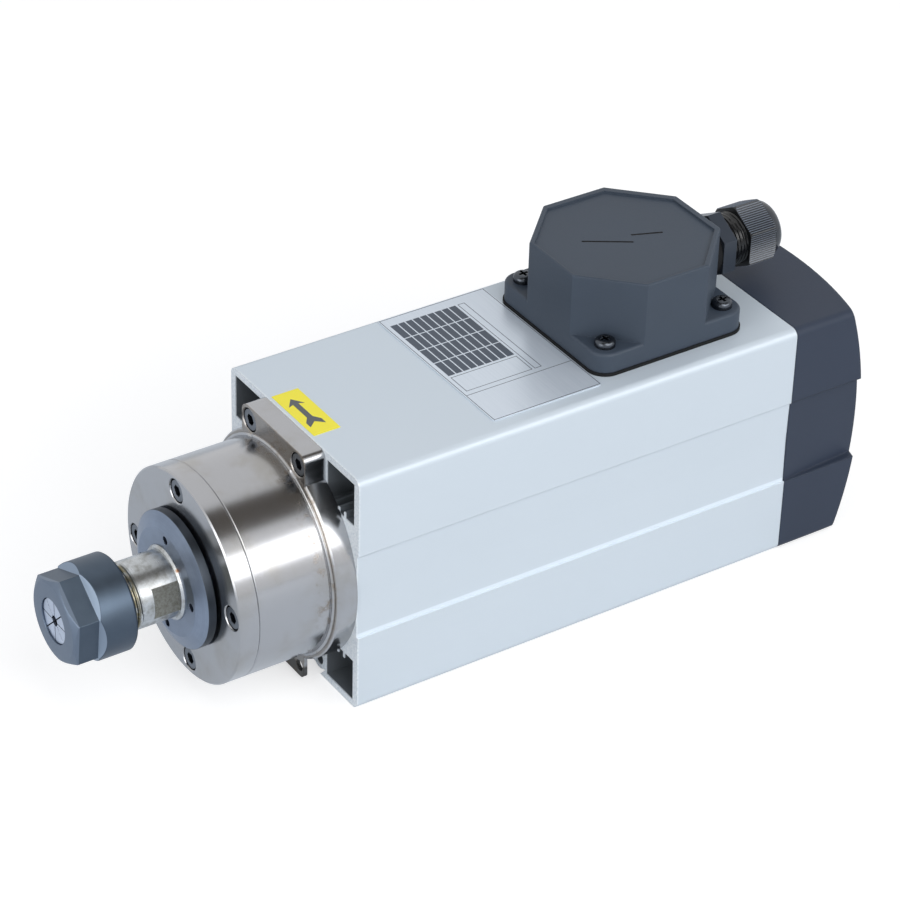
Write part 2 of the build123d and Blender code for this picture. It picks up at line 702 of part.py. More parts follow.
def cooling_fan():
    """The moulded fan, with twisted blades lofted from the hub to the rim."""
    middle = (FAN_FACE + FAN_BACK) / 2
    fan = Part()
    for i in range(FAN_BLADES):
        root = blade_section(FAN_HUB_R - 3, BLADE_ROOT_CHORD, BLADE_ROOT_PITCH, middle)
        tip = blade_section(FAN_R + 2, BLADE_TIP_CHORD, BLADE_TIP_PITCH, middle)
        fan += Rot(0, 360.0 * i / FAN_BLADES, 0) * loft([root, tip])
    fan &= rod(FAN_R, FAN_FACE, FAN_BACK)
    fan += ring(REAR_SHAFT_R, FAN_HUB_R, FAN_FACE, FAN_BACK)
    return fan - rod(REAR_SHAFT_R, FAN_FACE - 1, FAN_BACK + 1)


def blade_section(radius, chord, pitch, y):
    """One section of a fan blade, square to the radius along +X and turned by its pitch."""
    plane = Plane(origin=(radius, y, 0), x_dir=(0, 1, 0), z_dir=(1, 0, 0))
    return plane * Rot(0, 0, pitch) * RectangleRounded(chord, BLADE_T, BLADE_T * 0.45)


def fan_circlip():
    """The spring ring that keeps the fan on the shaft."""
    clip = ring(REAR_SHAFT_R - CIRCLIP_GROOVE, CIRCLIP_R, FAN_BACK, FAN_BACK + CIRCLIP_T)
    gap = Pos(0, CIRCLIP_R) * Rectangle(CIRCLIP_R * 0.6, 2 * CIRCLIP_R - REAR_SHAFT_R)
    return clip - along(gap, FAN_BACK - 1, FAN_BACK + CIRCLIP_T + 1)


def hood_solid(inset):
    """The fan cover's outer form, or its hollow when it is inset by the wall."""
    outline = RectangleRounded(BODY_W - 2 * inset, BODY_H - 2 * inset, BODY_EDGE_R - inset / 2)
    block = along(outline, BODY_BACK, HOOD_BACK)
    dome_r = HOOD_DOME_R - inset
    block &= Pos(0, HOOD_BACK - HOOD_DOME_R, 0) * Sphere(dome_r)
    block -= hood_band(inset)
    return block - hood_foot_cut(inset)


def hood_band(inset):
    """The tapered recess along both sides of the fan cover, deeper towards the back."""
    edge = BODY_W / 2
    front_x = edge - BAND_DEEP - inset
    rear_x = edge - HOOD_BAND_REAR - inset
    half = BAND_HALF + inset
    plan = make_face(Polyline(
        (edge + 1, BODY_BACK), (front_x, BODY_BACK), (rear_x, HOOD_BACK), (edge + 1, HOOD_BACK),
        close=True))
    cut = extrude(Plane.XY.offset(-half) * plan, 2 * half)
    return cut + mirror(cut, Plane.YZ)


def hood_foot_cut(inset):
    """The slope that lifts the back of the fan cover's underside."""
    foot = FOOT + inset
    side = make_face(Polyline(
        (BODY_BACK, FOOT - 1), (BODY_BACK, foot), (HOOD_BACK, foot + HOOD_FOOT_LIFT),
        (HOOD_BACK, FOOT - 1), close=True))
    return extrude(Plane.YZ * side, BODY_W, both=True)


def grille_slots():
    """Rings of air slots in the middle of the fan cover's back, split by spokes."""
    slots = Sketch()
    inner = GRILLE_HUB_R
    while inner + GRILLE_SLOT <= GRILLE_R:
        slots += Circle(inner + GRILLE_SLOT) - Circle(inner)
        inner += GRILLE_SLOT + GRILLE_BAR
    for i in range(GRILLE_SPOKES // 2):
        slots -= Rot(0, 0, 360.0 * i / GRILLE_SPOKES) * Rectangle(3 * GRILLE_R, GRILLE_SPOKE_W)
    return slots


def fan_cover():
    """The moulded cover over the fan, with its domed grille and four screw tubes."""
    cover = hood_solid(0.0) - hood_solid(HOOD_WALL)
    seat = BODY_BACK + HOOD_SEAT
    tubes = Part()
    for x, z in HOOD_PORTS:
        tubes += rod(HOOD_BOSS_R, BODY_BACK, HOOD_BACK, x, z)
    cover += tubes & hood_solid(0.0)
    for x, z in HOOD_PORTS:
        cover -= rod(PAN_SCREW_R + HOLE_SLACK, BODY_BACK - 1, HOOD_BACK, x, z)
        cover -= rod(PAN_SCREW_HEAD_R - HOLE_SLACK + 0.5, seat, HOOD_BACK + 1, x, z)
    cover -= along(grille_slots(), HOOD_BACK - HOOD_DEEP / 2, HOOD_BACK + 1)
    return cover


def pan_screw_along(x, z, seat, tip):
    """A pan-head screw that enters along -Y, with the underside of its head at the seat."""
    screw = rod(PAN_SCREW_HEAD_R - HOLE_SLACK, seat, seat + PAN_SCREW_HEAD_T, x, z)
    return screw + rod(PAN_SCREW_R, tip, seat, x, z)


def pan_screw_down(x, y, seat, tip):
    """A pan-head screw that enters downwards, with a cross in its domed head."""
    head = post(PAN_SCREW_HEAD_R, seat, seat + PAN_SCREW_HEAD_T, x, y)
    head = fillet(head.edges().group_by(Axis.Z)[-1], PAN_SCREW_HEAD_T * 0.6)
    cross = Rectangle(PAN_SCREW_HEAD_R, PAN_SCREW_SLOT) + Rectangle(PAN_SCREW_SLOT, PAN_SCREW_HEAD_R)
    bottom = seat + PAN_SCREW_HEAD_T - 1.4
    head -= extrude(Plane.XY.offset(bottom) * Pos(x, y) * cross, 3)
    return head + post(PAN_SCREW_R, tip, seat, x, y)


def octagon(across, cut, x=0.0, y=0.0):
    """An octagon with faces square to both axes, by its width and the cut at each corner."""
    half = across / 2
    edge = half - cut
    return Pos(x, y) * make_face(Polyline(
        (-half, -edge), (-edge, -half), (edge, -half), (half, -edge),
        (half, edge), (edge, half), (-edge, half), (-half, edge), close=True))


def up(sketch, z0, z1):
    """A plan sketch carried up from z0 to z1, centred on the terminal box."""
    return extrude(Plane.XY.offset(z0) * Pos(0, BOX_Y) * sketch, z1 - z0)


def terminal_box():
    """The moulded terminal cover: a square foot under an eight-sided hollow tower."""
    inner_cut = BOX_CUT - BOX_WALL * (2 - math.sqrt(2))
    foot = up(RectangleRounded(BOX_AF, BOX_AF, BOX_CORNER_R), GASKET_TOP, BOX_LEDGE)
    foot = fillet(foot.edges().group_by(Axis.Z)[-1], BOX_FOOT_EDGE_R)
    tower = up(octagon(BOX_AF, BOX_CUT), GASKET_TOP, BOX_TOP)
    tower = fillet(tower.edges().filter_by(Axis.Z), BOX_EDGE_R)
    tower = fillet(tower.edges().group_by(Axis.Z)[-1], BOX_EDGE_R)
    box = foot + tower
    box -= up(octagon(BOX_AF - 2 * BOX_WALL, inner_cut), GASKET_TOP, BOX_TOP - BOX_RIM_DEEP - BOX_WALL)
    dish = octagon(BOX_AF - 2 * BOX_RIM, BOX_CUT - BOX_RIM * (2 - math.sqrt(2)),
                   BOX_RIM_SHIFT, -BOX_RIM_SHIFT)
    dish_floor = BOX_TOP - BOX_RIM_DEEP
    box -= up(dish, dish_floor, BOX_TOP + 1)
    for x0, y0, x1, y1 in (LONG_MARK, SHORT_MARK):
        length = math.hypot(x1 - x0, y1 - y0)
        turn = math.degrees(math.atan2(y1 - y0, x1 - x0))
        mark = Pos((x0 + x1) / 2, (y0 + y1) / 2) * Rot(0, 0, turn) * SlotOverall(length, BOX_MARK_W)
        box -= up(mark, dish_floor - BOX_MARK_DEEP, dish_floor + 1)
    for x, y in BOX_SCREW_PLACES:
        box -= post(PAN_SCREW_R + HOLE_SLACK, GASKET_TOP - 1, BOX_LEDGE + 1, x, y)
    wall = BOX_Y + BOX_AF / 2
    box -= rod(GLAND_STEM_R + HOLE_SLACK, wall - BOX_WALL - 1, wall + 1, 0, GLAND_Z)
    return box


def terminal_gasket():
    """The thin rubber frame between the box and the housing, just proud of the foot."""
    outer = RectangleRounded(BOX_AF + 2 * GASKET_SHOW, BOX_AF + 2 * GASKET_SHOW, BOX_CORNER_R + GASKET_SHOW)
    inner = RectangleRounded(GASKET_OPENING, GASKET_OPENING, BOX_CORNER_R / 2)
    gasket = up(outer - inner, TOP, GASKET_TOP)
    for x, y in BOX_SCREW_PLACES:
        gasket -= post(PAN_SCREW_R + HOLE_SLACK, TOP - 1, GASKET_TOP + 1, x, y)
    return gasket


BLOCK_PLACE_Y = BOX_Y - GASKET_OPENING / 2 + BLOCK_Y / 2 + BLOCK_GAP
STUD_XS = (-STUD_PITCH, 0.0, STUD_PITCH)


def terminal_block():
    """The insulating block that carries the three terminal studs."""
    block = Pos(0, BLOCK_PLACE_Y, TOP + BLOCK_Z / 2) * Box(BLOCK_X, BLOCK_Y, BLOCK_Z)
    block = fillet(block.edges().filter_by(Axis.Z), 2)
    for x in STUD_XS:
        block -= post(STUD_R, TOP + 2, TOP + BLOCK_Z + 1, x, BLOCK_PLACE_Y)
    return block


def terminal_studs():
    """Three studs with their hexagon nuts."""
    studs = Part()
    for x in STUD_XS:
        base = TOP + BLOCK_Z
        nut = extrude(Plane.XY.offset(base) * Pos(x, BLOCK_PLACE_Y) * hexagon(STUD_NUT_AF), STUD_NUT_T)
        studs += post(STUD_R, TOP + 2, base + STUD_TALL, x, BLOCK_PLACE_Y) + nut
    return studs


def motor_leads():
    """Three insulated leads from the rear end turns up to the studs."""
    turn_z = TOP + BLOCK_Z + STUD_NUT_T + 2
    back = BOX_Y + LEAD_BACK
    leads = []
    for x in STUD_XS:
        path = FilletPolyline(
            (x, STATOR_BACK + WINDING_OVER, LEAD_LOW_Z), (x, back, LEAD_LOW_Z), (x, back, turn_z),
            (x, BLOCK_PLACE_Y + STUD_R, turn_z), radius=LEAD_BEND)
        section = Plane(origin=path @ 0, z_dir=path % 0) * Circle(LEAD_R)
        leads.append(sweep(section, path=path))
    return group(leads)


def earth_screw():
    """The earth screw inside the box, with the ring of its tag."""
    tag = post(PAN_SCREW_HEAD_R + 0.6, TOP, TOP + 0.8, 0, EARTH_Y)
    return tag + pan_screw_down(0, EARTH_Y, TOP + 0.8, TOP - 5)


GLAND_WALL = BOX_Y + BOX_AF / 2
GLAND_HEX_FACE = GLAND_WALL + GLAND_WASHER_T + GLAND_NECK
GLAND_HEX_BACK = GLAND_HEX_FACE + GLAND_HEX_T
GLAND_NUT_FACE = GLAND_HEX_BACK + GLAND_THREAD_SHOW
GLAND_NUT_BACK = GLAND_NUT_FACE + GLAND_NUT_LEN
GLAND_THREAD_BACK = GLAND_HEX_BACK + GLAND_THREAD_LEN
GLAND_END = GLAND_NUT_BACK + GLAND_DOME_LEN


def at_gland(piece):
    """Lift a piece turned on the spindle axis up to the gland's own axis."""
    return Pos(0, 0, GLAND_Z) * piece


def gland_body():
    """The gland's body: stem through the wall, hexagon, and outer thread."""
    inner = GLAND_WALL - BOX_WALL - GLAND_STEM_IN
    body = turned(
        (GLAND_BORE_R, inner), (GLAND_STEM_R - 0.8, inner), (GLAND_STEM_R, inner + 0.8),
        (GLAND_STEM_R, GLAND_HEX_FACE), (GLAND_STEM_R, GLAND_HEX_BACK),
        (GLAND_THREAD_R, GLAND_HEX_BACK), (GLAND_THREAD_R, GLAND_THREAD_BACK - 0.6),
        (GLAND_THREAD_R - 0.6, GLAND_THREAD_BACK), (GLAND_SEAL_R + FIT, GLAND_THREAD_BACK),
        (GLAND_SEAL_R + FIT, GLAND_HEX_BACK), (GLAND_BORE_R, GLAND_HEX_BACK))
    hexed = along(hexagon(GLAND_HEX_AF, GLAND_TURN) - Circle(GLAND_STEM_R), GLAND_HEX_FACE, GLAND_HEX_BACK)
    return at_gland(body + hexed)


def gland_washer():
    """The sealing washer between the gland's hexagon and the box's wall."""
    washer = turned(
        (GLAND_STEM_R, GLAND_WALL), (GLAND_WASHER_R, GLAND_WALL),
        (GLAND_WASHER_R, GLAND_WALL + GLAND_WASHER_T), (GLAND_STEM_R + 0.9, GLAND_WALL + GLAND_WASHER_T),
        (GLAND_STEM_R + 0.9, GLAND_HEX_FACE), (GLAND_STEM_R, GLAND_HEX_FACE))
    return at_gland(washer)


def gland_locknut():
    """The flat nut that holds the gland from inside the box."""
    back = GLAND_WALL - BOX_WALL
    section = (hexagon(LOCKNUT_AF) & Circle(LOCKNUT_R)) - Circle(GLAND_STEM_R)
    return at_gland(along(section, back - LOCKNUT_T, back))


def gland_seal():
    """The rubber sleeve that grips the cable, between the body's bore and the nut's dome."""
    start = GLAND_END - GLAND_SEAL_LEN - 1.4
    seal = turned(
        (CABLE_R, start), (GLAND_SEAL_R, start), (GLAND_SEAL_R, GLAND_NUT_BACK - 0.6),
        (GLAND_MOUTH_R, GLAND_END - 1.4), (CABLE_R, GLAND_END - 1.4))
    return at_gland(seal)


def gland_nut():
    """The domed gland nut, a ribbed hexagon with a rounded nose."""
    hollow_back = GLAND_NUT_BACK
    section = hexagon(GLAND_NUT_AF, GLAND_TURN) & Circle(GLAND_NUT_R)
    nut = along(section, GLAND_NUT_FACE, GLAND_NUT_BACK)
    dome = Line((0, GLAND_NUT_BACK), (GLAND_DOME_R, GLAND_NUT_BACK))
    dome += ThreePointArc(
        (GLAND_DOME_R, GLAND_NUT_BACK), (GLAND_DOME_R * 0.86, GLAND_NUT_BACK + GLAND_DOME_LEN * 0.66),
        (GLAND_MOUTH_R, GLAND_END))
    dome += Polyline((GLAND_MOUTH_R, GLAND_END), (0, GLAND_END), (0, GLAND_NUT_BACK))
    nut += revolve(make_face(dome), Axis.Y)
    hollow = turned(
        (0, GLAND_NUT_FACE - 1), (GLAND_THREAD_R + FIT, GLAND_NUT_FACE - 1),
        (GLAND_THREAD_R + FIT, hollow_back - 1.5), (GLAND_SEAL_R + 0.3, hollow_back - 0.4),
        (GLAND_MOUTH_R + 0.3, GLAND_END - 1.2), (GLAND_MOUTH_R, GLAND_END + 1), (0, GLAND_END + 1))
    return at_gland(nut - hollow)


def rating_plate():
    """The thin bare plate on the top face, in front of the terminal box."""
    plate = RectangleRounded(PLATE_X, PLATE_Y, 1.5)
    middle = BOX_Y - BOX_AF / 2 - GASKET_SHOW - PLATE_GAP - PLATE_Y / 2
    return extrude(Plane.XY.offset(TOP) * Pos(PLATE_OFF_X, middle) * plate, PLATE_T)


def direction_label():
    """The small label beside the flange that shows which way the shaft turns."""
    middle = BODY_FACE + LABEL_FROM_FACE + LABEL_Y / 2
    label = Pos(LABEL_OFF_X, middle) * Rectangle(LABEL_X, LABEL_Y)
    return extrude(Plane.XY.offset(TOP) * label, LABEL_T)


def fan_cover_screws():
    """Four long screws through the fan cover's tubes into the housing."""
    seat = BODY_BACK + HOOD_SEAT
    return group([pan_screw_along(x, z, seat, BODY_BACK - 10) for x, z in HOOD_PORTS])


def rear_plate_screws():
    """Four pan-head screws through the rear plate's lugs."""
    seat = BODY_BACK + END_PLATE_T
    return group([pan_screw_along(x, z, seat, BODY_BACK - 10) for x, z in END_PORTS])


def save(name, piece):
    """Write one sub-part as a STEP file."""
    export_step(piece, f"parts/{name}.step")


os.makedirs("parts", exist_ok=True)

front_starts = [BEARING_FACE + i * FRONT_BEARING_W for i in range(FRONT_ROWS)]
front_bearings = bearing_set(
    FRONT_BORE_R, FRONT_OUT_R, FRONT_BEARING_W, FRONT_BALL_R, FRONT_BALLS, front_starts)
rear_bearing = bearing_set(
    REAR_BORE_R, REAR_OUT_R, REAR_BEARING_W, REAR_BALL_R, REAR_BALLS, [REAR_RACE_FACE])
BEARING_NAMES = ("inner_rings", "outer_rings", "balls", "cages")
for place, pieces in (("front", front_bearings), ("rear", rear_bearing)):
    for name, piece in zip(BEARING_NAMES, pieces):
        save(f"{place}_bearing_{name}", piece)

cover_seat = COVER_FACE + CAP_SCREW_HEAD_T + COUNTERBORE_SPARE
ear_seat = FLANGE_FACE + CAP_SCREW_HEAD_T + COUNTERBORE_SPARE
save("collet_nut", collet_nut())
save("collet", collet())
save("spindle_shaft", spindle_shaft())
save("dust_cap", dust_cap())
save("front_cover", front_cover())
save("front_cover_screws", group([cap_screw(x, z, cover_seat, CAP_SCREW_LEN) for x, z in COVER_HOLES]))
save("nose_housing", nose_housing())
save("flange_screws", group([cap_screw(x, z, ear_seat, CAP_SCREW_LEN) for x, z in TOP_PORTS]))
save("motor_housing", motor_housing())
save("stator_core", stator_core())
save("stator_windings", stator_windings())
save("rotor_core", rotor_core())
save("rotor_end_rings", rotor_end_rings())
save("rear_bearing_plate", rear_bearing_plate())
save("preload_spring", preload_spring())
save("rear_plate_screws", rear_plate_screws())
save("cooling_fan", cooling_fan())
save("fan_circlip", fan_circlip())
save("fan_cover", fan_cover())
save("fan_cover_screws", fan_cover_screws())
save("terminal_gasket", terminal_gasket())
save("terminal_box", terminal_box())
save("terminal_box_screws",
     group([pan_screw_down(x, y, BOX_LEDGE, TOP - TOP_WALL) for x, y in BOX_SCREW_PLACES]))
save("terminal_block", terminal_block())
save("terminal_studs", terminal_studs())
save("motor_leads", motor_leads())
save("earth_screw", earth_screw())
save("gland_body", gland_body())
save("gland_washer", gland_washer())
save("gland_locknut", gland_locknut())
save("gland_seal", gland_seal())
save("gland_nut", gland_nut())
save("rating_plate", rating_plate())
save("direction_label", direction_label())
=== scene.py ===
# %% [markdown]
# # A square motor spindle, dressed around its CAD frame
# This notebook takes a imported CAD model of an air-cooled milling spindle and gives it its looks.
# The CAD model is the fixed frame: every piece made here is placed in its coordinates, in metres.
# The spindle axis is the Y axis, the tool end points to -Y, and the terminal box stands up
# along +Z. Sizes of new pieces are written in millimetres, as on a drawing, and MM turns them
# into metres.

# %% Load the frame
import math

import bmesh
import bpy
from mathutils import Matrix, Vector


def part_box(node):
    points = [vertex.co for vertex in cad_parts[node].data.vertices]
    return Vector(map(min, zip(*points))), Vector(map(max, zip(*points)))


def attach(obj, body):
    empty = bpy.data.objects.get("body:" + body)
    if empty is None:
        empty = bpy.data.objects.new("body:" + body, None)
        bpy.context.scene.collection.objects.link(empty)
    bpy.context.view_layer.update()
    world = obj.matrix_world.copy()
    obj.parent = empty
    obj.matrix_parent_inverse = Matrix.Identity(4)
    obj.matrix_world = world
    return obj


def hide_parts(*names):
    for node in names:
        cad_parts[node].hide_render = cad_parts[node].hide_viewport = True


MM = 0.001

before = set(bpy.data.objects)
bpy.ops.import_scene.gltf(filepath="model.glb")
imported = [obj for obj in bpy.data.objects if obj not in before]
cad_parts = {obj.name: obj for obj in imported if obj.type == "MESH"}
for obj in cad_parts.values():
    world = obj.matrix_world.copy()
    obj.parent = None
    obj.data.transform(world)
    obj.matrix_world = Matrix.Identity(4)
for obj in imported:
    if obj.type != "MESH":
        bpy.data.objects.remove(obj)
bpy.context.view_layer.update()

# %% [markdown]
# ## The camera
# The photograph was taken from the right, in front and above, with a long lens.
# Its place, its turn and its focal length were fitted to edges of known size on the housing, so
# they are written down as they came out. A long lens keeps the far end nearly as large as the
# near one.

# %% Camera
CAMERA_PLACE = (0.85297, -0.41503, 0.70704)
CAMERA_TURN = (math.radians(56.0397), math.radians(-1.3334), math.radians(56.8926))
CAMERA_LENS = 137.87
SENSOR_WIDTH = 36.0

bpy.ops.object.camera_add(location=CAMERA_PLACE, rotation=CAMERA_TURN)
camera = bpy.context.object
camera.name = "photo_camera"
camera.data.lens = CAMERA_LENS
camera.data.sensor_width = SENSOR_WIDTH
camera.data.sensor_fit = "HORIZONTAL"
bpy.context.scene.camera = camera
print("camera lens", CAMERA_LENS, "mm")

# %% [markdown]
# ## Shader maths as plain expressions
# A material in Blender is a graph of nodes. Written node by node it is long and hard to read, so
# this small class wraps one output socket. Adding or multiplying two of them adds the Math node.

# %% A socket that can be calculated with
class Socket:
    """One output of a shader node, with arithmetic that adds Math nodes."""

    def __init__(self, tree, socket):
        self.tree = tree
        self.socket = socket

    def node(self, kind, settings=None, output=0, **inputs):
        """Add a node, set it up, then fill its inputs with values or with other sockets."""
        new = self.tree.nodes.new(kind)
        for key, value in (settings or {}).items():
            setattr(new, key, value)
        for key, value in inputs.items():
            name = int(key[1:]) if key[1:].isdigit() else key.replace("_", " ")
            if isinstance(value, Socket):
                self.tree.links.new(value.socket, new.inputs[name])
            else:
                new.inputs[name].default_value = value
        return Socket(self.tree, new.outputs[output])

    def maths(self, operation, first, second=0.0):
        return self.node("ShaderNodeMath", {"operation": operation}, i0=first, i1=second)

    def __add__(self, other):
        return self.maths("ADD", self, other)

    def __radd__(self, other):
        return self.maths("ADD", other, self)

    def __sub__(self, other):
        return self.maths("SUBTRACT", self, other)

    def __rsub__(self, other):
        return self.maths("SUBTRACT", other, self)

    def __mul__(self, other):
        return self.maths("MULTIPLY", self, other)

    def __rmul__(self, other):
        return self.maths("MULTIPLY", other, self)

    def __truediv__(self, other):
        return self.maths("DIVIDE", self, other)

    def __lt__(self, other):
        return self.maths("LESS_THAN", self, other)

    def power(self, exponent):
        return self.maths("POWER", self, exponent)

    def absolute(self):
        return self.maths("ABSOLUTE", self)

    def larger(self, other):
        return self.maths("MAXIMUM", self, other)

    def apart(self):
        """The x, y and z of a vector."""
        split = self.node("ShaderNodeSeparateXYZ", Vector=self)
        outputs = split.socket.node.outputs
        return [Socket(self.tree, outputs[i]) for i in range(3)]

    def smooth(self, start, end):
        """A soft step from 0 at start to 1 at end."""
        settings = {"interpolation_type": "SMOOTHSTEP"}
        return self.node("ShaderNodeMapRange", settings, Value=self, From_Min=start, From_Max=end)

    def blend(self, low, high):
        """A colour between two colours, with this value as the share of the second."""
        settings = {"data_type": "RGBA"}
        return self.node("ShaderNodeMix", settings, output=2, i0=self, i6=low, i7=high)


def linear(red, green, blue):
    """A colour given from 0 to 255, as the linear values that a shader takes."""
    def channel(value):
        value = value / 255
        return value / 12.92 if value <= 0.04045 else ((value + 0.055) / 1.055) ** 2.4
    return (channel(red), channel(green), channel(blue), 1.0)


print("sockets can be calculated with")

# %% [markdown]
# ## Starting a material
# Every finish here begins the same way: a Principled shader and the Object coordinates. Those
# coordinates are the model's own metres, so a pattern that repeats every 0.001 repeats every
# millimetre on every piece, and it stays put when the camera moves.

# %% The start of every finish
def start_finish(name, colour, metallic=0.0, roughness=0.5, **constants):
    """A new material, with its shader, its start colour and a socket to calculate from."""
    material = bpy.data.materials.new(name)
    material.use_nodes = True
    tree = material.node_tree
    shader = tree.nodes["Principled BSDF"]
    shader.inputs["Base Color"].default_value = colour
    shader.inputs["Metallic"].default_value = metallic
    shader.inputs["Roughness"].default_value = roughness
    for key, value in constants.items():
        shader.inputs[key.replace("_", " ")].default_value = value
    coordinates = tree.nodes.new("ShaderNodeTexCoord")
    return material, shader, Socket(tree, coordinates.outputs["Object"])


def feed(shader, key, value):
    """Link a socket to one of the shader's own inputs."""
    value.tree.links.new(value.socket, shader.inputs[key])


def noise(at, size, detail=3.0, roughness=0.5):
    """Cloudy noise with features of about this size in metres, from 0 to 1."""
    return at.node("ShaderNodeTexNoise", Vector=at, Scale=1 / size, Detail=detail,
                   Roughness=roughness)


def stretched(at, x, y, z):
    """The coordinates with each axis scaled, so that noise turns into streaks."""
    return at.node("ShaderNodeVectorMath", {"operation": "MULTIPLY"}, i0=at, i1=(x, y, z))


def rounded(at, radius):
    """A normal that is rounded over at sharp edges."""
    return at.node("ShaderNodeBevel", {"samples": 4}, Radius=radius)


def bump(at, height, strength, distance, normal=None):
    """A bump from a height between 0 and 1, on top of a normal if one is given."""
    inputs = {"Height": height, "Strength": strength, "Distance": distance}
    if normal is not None:
        inputs["Normal"] = normal
    return at.node("ShaderNodeBump", **inputs)


finishes = {}
print("shader helpers ready")

# %% [markdown]
# ## Anodised aluminium
# The housing is an extrusion: a die pulls it along its length, so its faint marks are long
# streaks along Y. The anodising is a pale cool grey and quite matt. The sawn ends are brighter and
# rougher. The insides of the air channels are painted darker, as painted shade, and the ledge's
# upward face is painted lighter, as a painted highlight.

# %% Housing finish
HOUSING_COLOUR = linear(207, 217, 226)
HOUSING_SHADE = linear(202, 213, 222)
SAWN_COLOUR = linear(232, 238, 243)
LEDGE_HIGHLIGHT_COLOUR = linear(224, 234, 243)
CHANNEL_SHADE_COLOUR = linear(112, 118, 124)
HOUSING_LOW, HOUSING_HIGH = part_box("motor_housing")
END_SKIN = 0.0004
CHANNELS_HALF_WIDTH = 0.0402
CHANNELS_HALF_HEIGHT = 0.0462
GROOVE_HALF_WIDTH = 0.0219
GROOVE_TOP_Z = -0.0445
LEDGE_LOW_Z, LEDGE_HIGH_Z = -0.0176, -0.0160


def between(value, low, high, soft=0.00005):
    """1 where a value lies between two limits, 0 outside, with soft ends."""
    return value.smooth(low - soft, low + soft) * (1 - value.smooth(high - soft, high + soft))


def inside_channels(at):
    """1 on the walls of the air channels and of the stator tube, 0 on the outside faces."""
    x, y, z = at.apart()
    within = between(y, HOUSING_LOW.y + END_SKIN, HOUSING_HIGH.y - END_SKIN)
    within = within * between(x, -CHANNELS_HALF_WIDTH, CHANNELS_HALF_WIDTH)
    within = within * between(z, -CHANNELS_HALF_HEIGHT, CHANNELS_HALF_HEIGHT)
    groove = between(x, -GROOVE_HALF_WIDTH, GROOVE_HALF_WIDTH) * (z < GROOVE_TOP_Z)
    return within * (1 - groove)


def housing_finish():
    """Anodised metal with drawing streaks, bright sawn ends, a painted highlight on the ledge and
    painted shade in the channels.
    """
    material, shader, at = start_finish(
        "housing_anodised", HOUSING_COLOUR, 0.15, 0.42, Coat_Weight=0.05, Coat_Roughness=0.3)
    y, z = at.apart()[1:]
    streak = noise(stretched(at, 1.0, 0.02, 1.0), 0.0011, 4.0, 0.6)
    cloud = noise(at, 0.05, 3.0)
    plain = (streak * 0.35 + cloud * 0.65).blend(HOUSING_SHADE, HOUSING_COLOUR)
    burr = noise(at, 0.0007, 4.0, 0.7)
    sawn = (1 - y.smooth(HOUSING_LOW.y + 0.0001, HOUSING_LOW.y + 0.0009)) * burr.smooth(0.35, 0.6)
    # Painted shade: the walls inside the air channels are painted darker.
    inside = inside_channels(at)
    # Painted highlight: the ledge's upward face is painted lighter.
    ledge = between(z, LEDGE_LOW_Z, LEDGE_HIGH_Z, 0.0003)
    colour = sawn.blend(ledge.blend(plain, LEDGE_HIGHLIGHT_COLOUR), SAWN_COLOUR)
    feed(shader, "Base Color", inside.blend(colour, CHANNEL_SHADE_COLOUR))
    feed(shader, "Roughness", streak * 0.10 + cloud * 0.10 + 0.33)
    grain = noise(at, 0.0004, 2.0)
    height = streak * 0.6 + grain * 0.4 + sawn * burr * 2.0
    feed(shader, "Normal", bump(at, height, 0.10, 0.0002, rounded(at, 0.0004)))
    return material


finishes["housing"] = housing_finish()
print("made", finishes["housing"].name)

# %% [markdown]
# ## Ground and plated steel
# The nose is turned on a lathe and then plated, so it is a near mirror with very fine rings round
# the spindle axis. The rings depend on the distance along the axis on the cylinders and on the
# distance from the axis on the faces: adding both gives rings everywhere.

# %% Turning rings
def axis_distance(at):
    """How far a point is from the spindle axis."""
    x, _, z = at.apart()
    return (x * x + z * z).power(0.5)


def rings(at, pitch):
    """Fine turning rings about the spindle axis, from 0 to 1."""
    radius = axis_distance(at)
    y = at.apart()[1]
    place = radius.node("ShaderNodeCombineXYZ", X=radius / pitch, Y=y / pitch, Z=0.0)
    return place.node("ShaderNodeTexNoise", Vector=place, Scale=1.0, Detail=3.0)


print("turning rings ready")

# %% [markdown]
# ## The nose
# Grime collects in the corner in front of the flange, and the flange's own face is a little darker
# than the ground cylinder. The foot that is bent down from it is painted dark, unevenly, as
# painted shade. Each of these lies at a known place on the part, so each is a mask made from y or
# z.

# %% Nose finish
NOSE_COLOUR = linear(172, 173, 176)
NOSE_STAIN = linear(163, 162, 160)
NOSE_GRIME = linear(128, 112, 92)
FLANGE_COLOUR = linear(146, 142, 138)
FOOT_SHADE_COLOUR = linear(52, 50, 46)
FLANGE_DEPTH = 0.0083
FLANGE_FACE_Y = HOUSING_LOW.y - FLANGE_DEPTH
FOOT_LOW_Z, FOOT_HIGH_Z = -0.0420, -0.0404


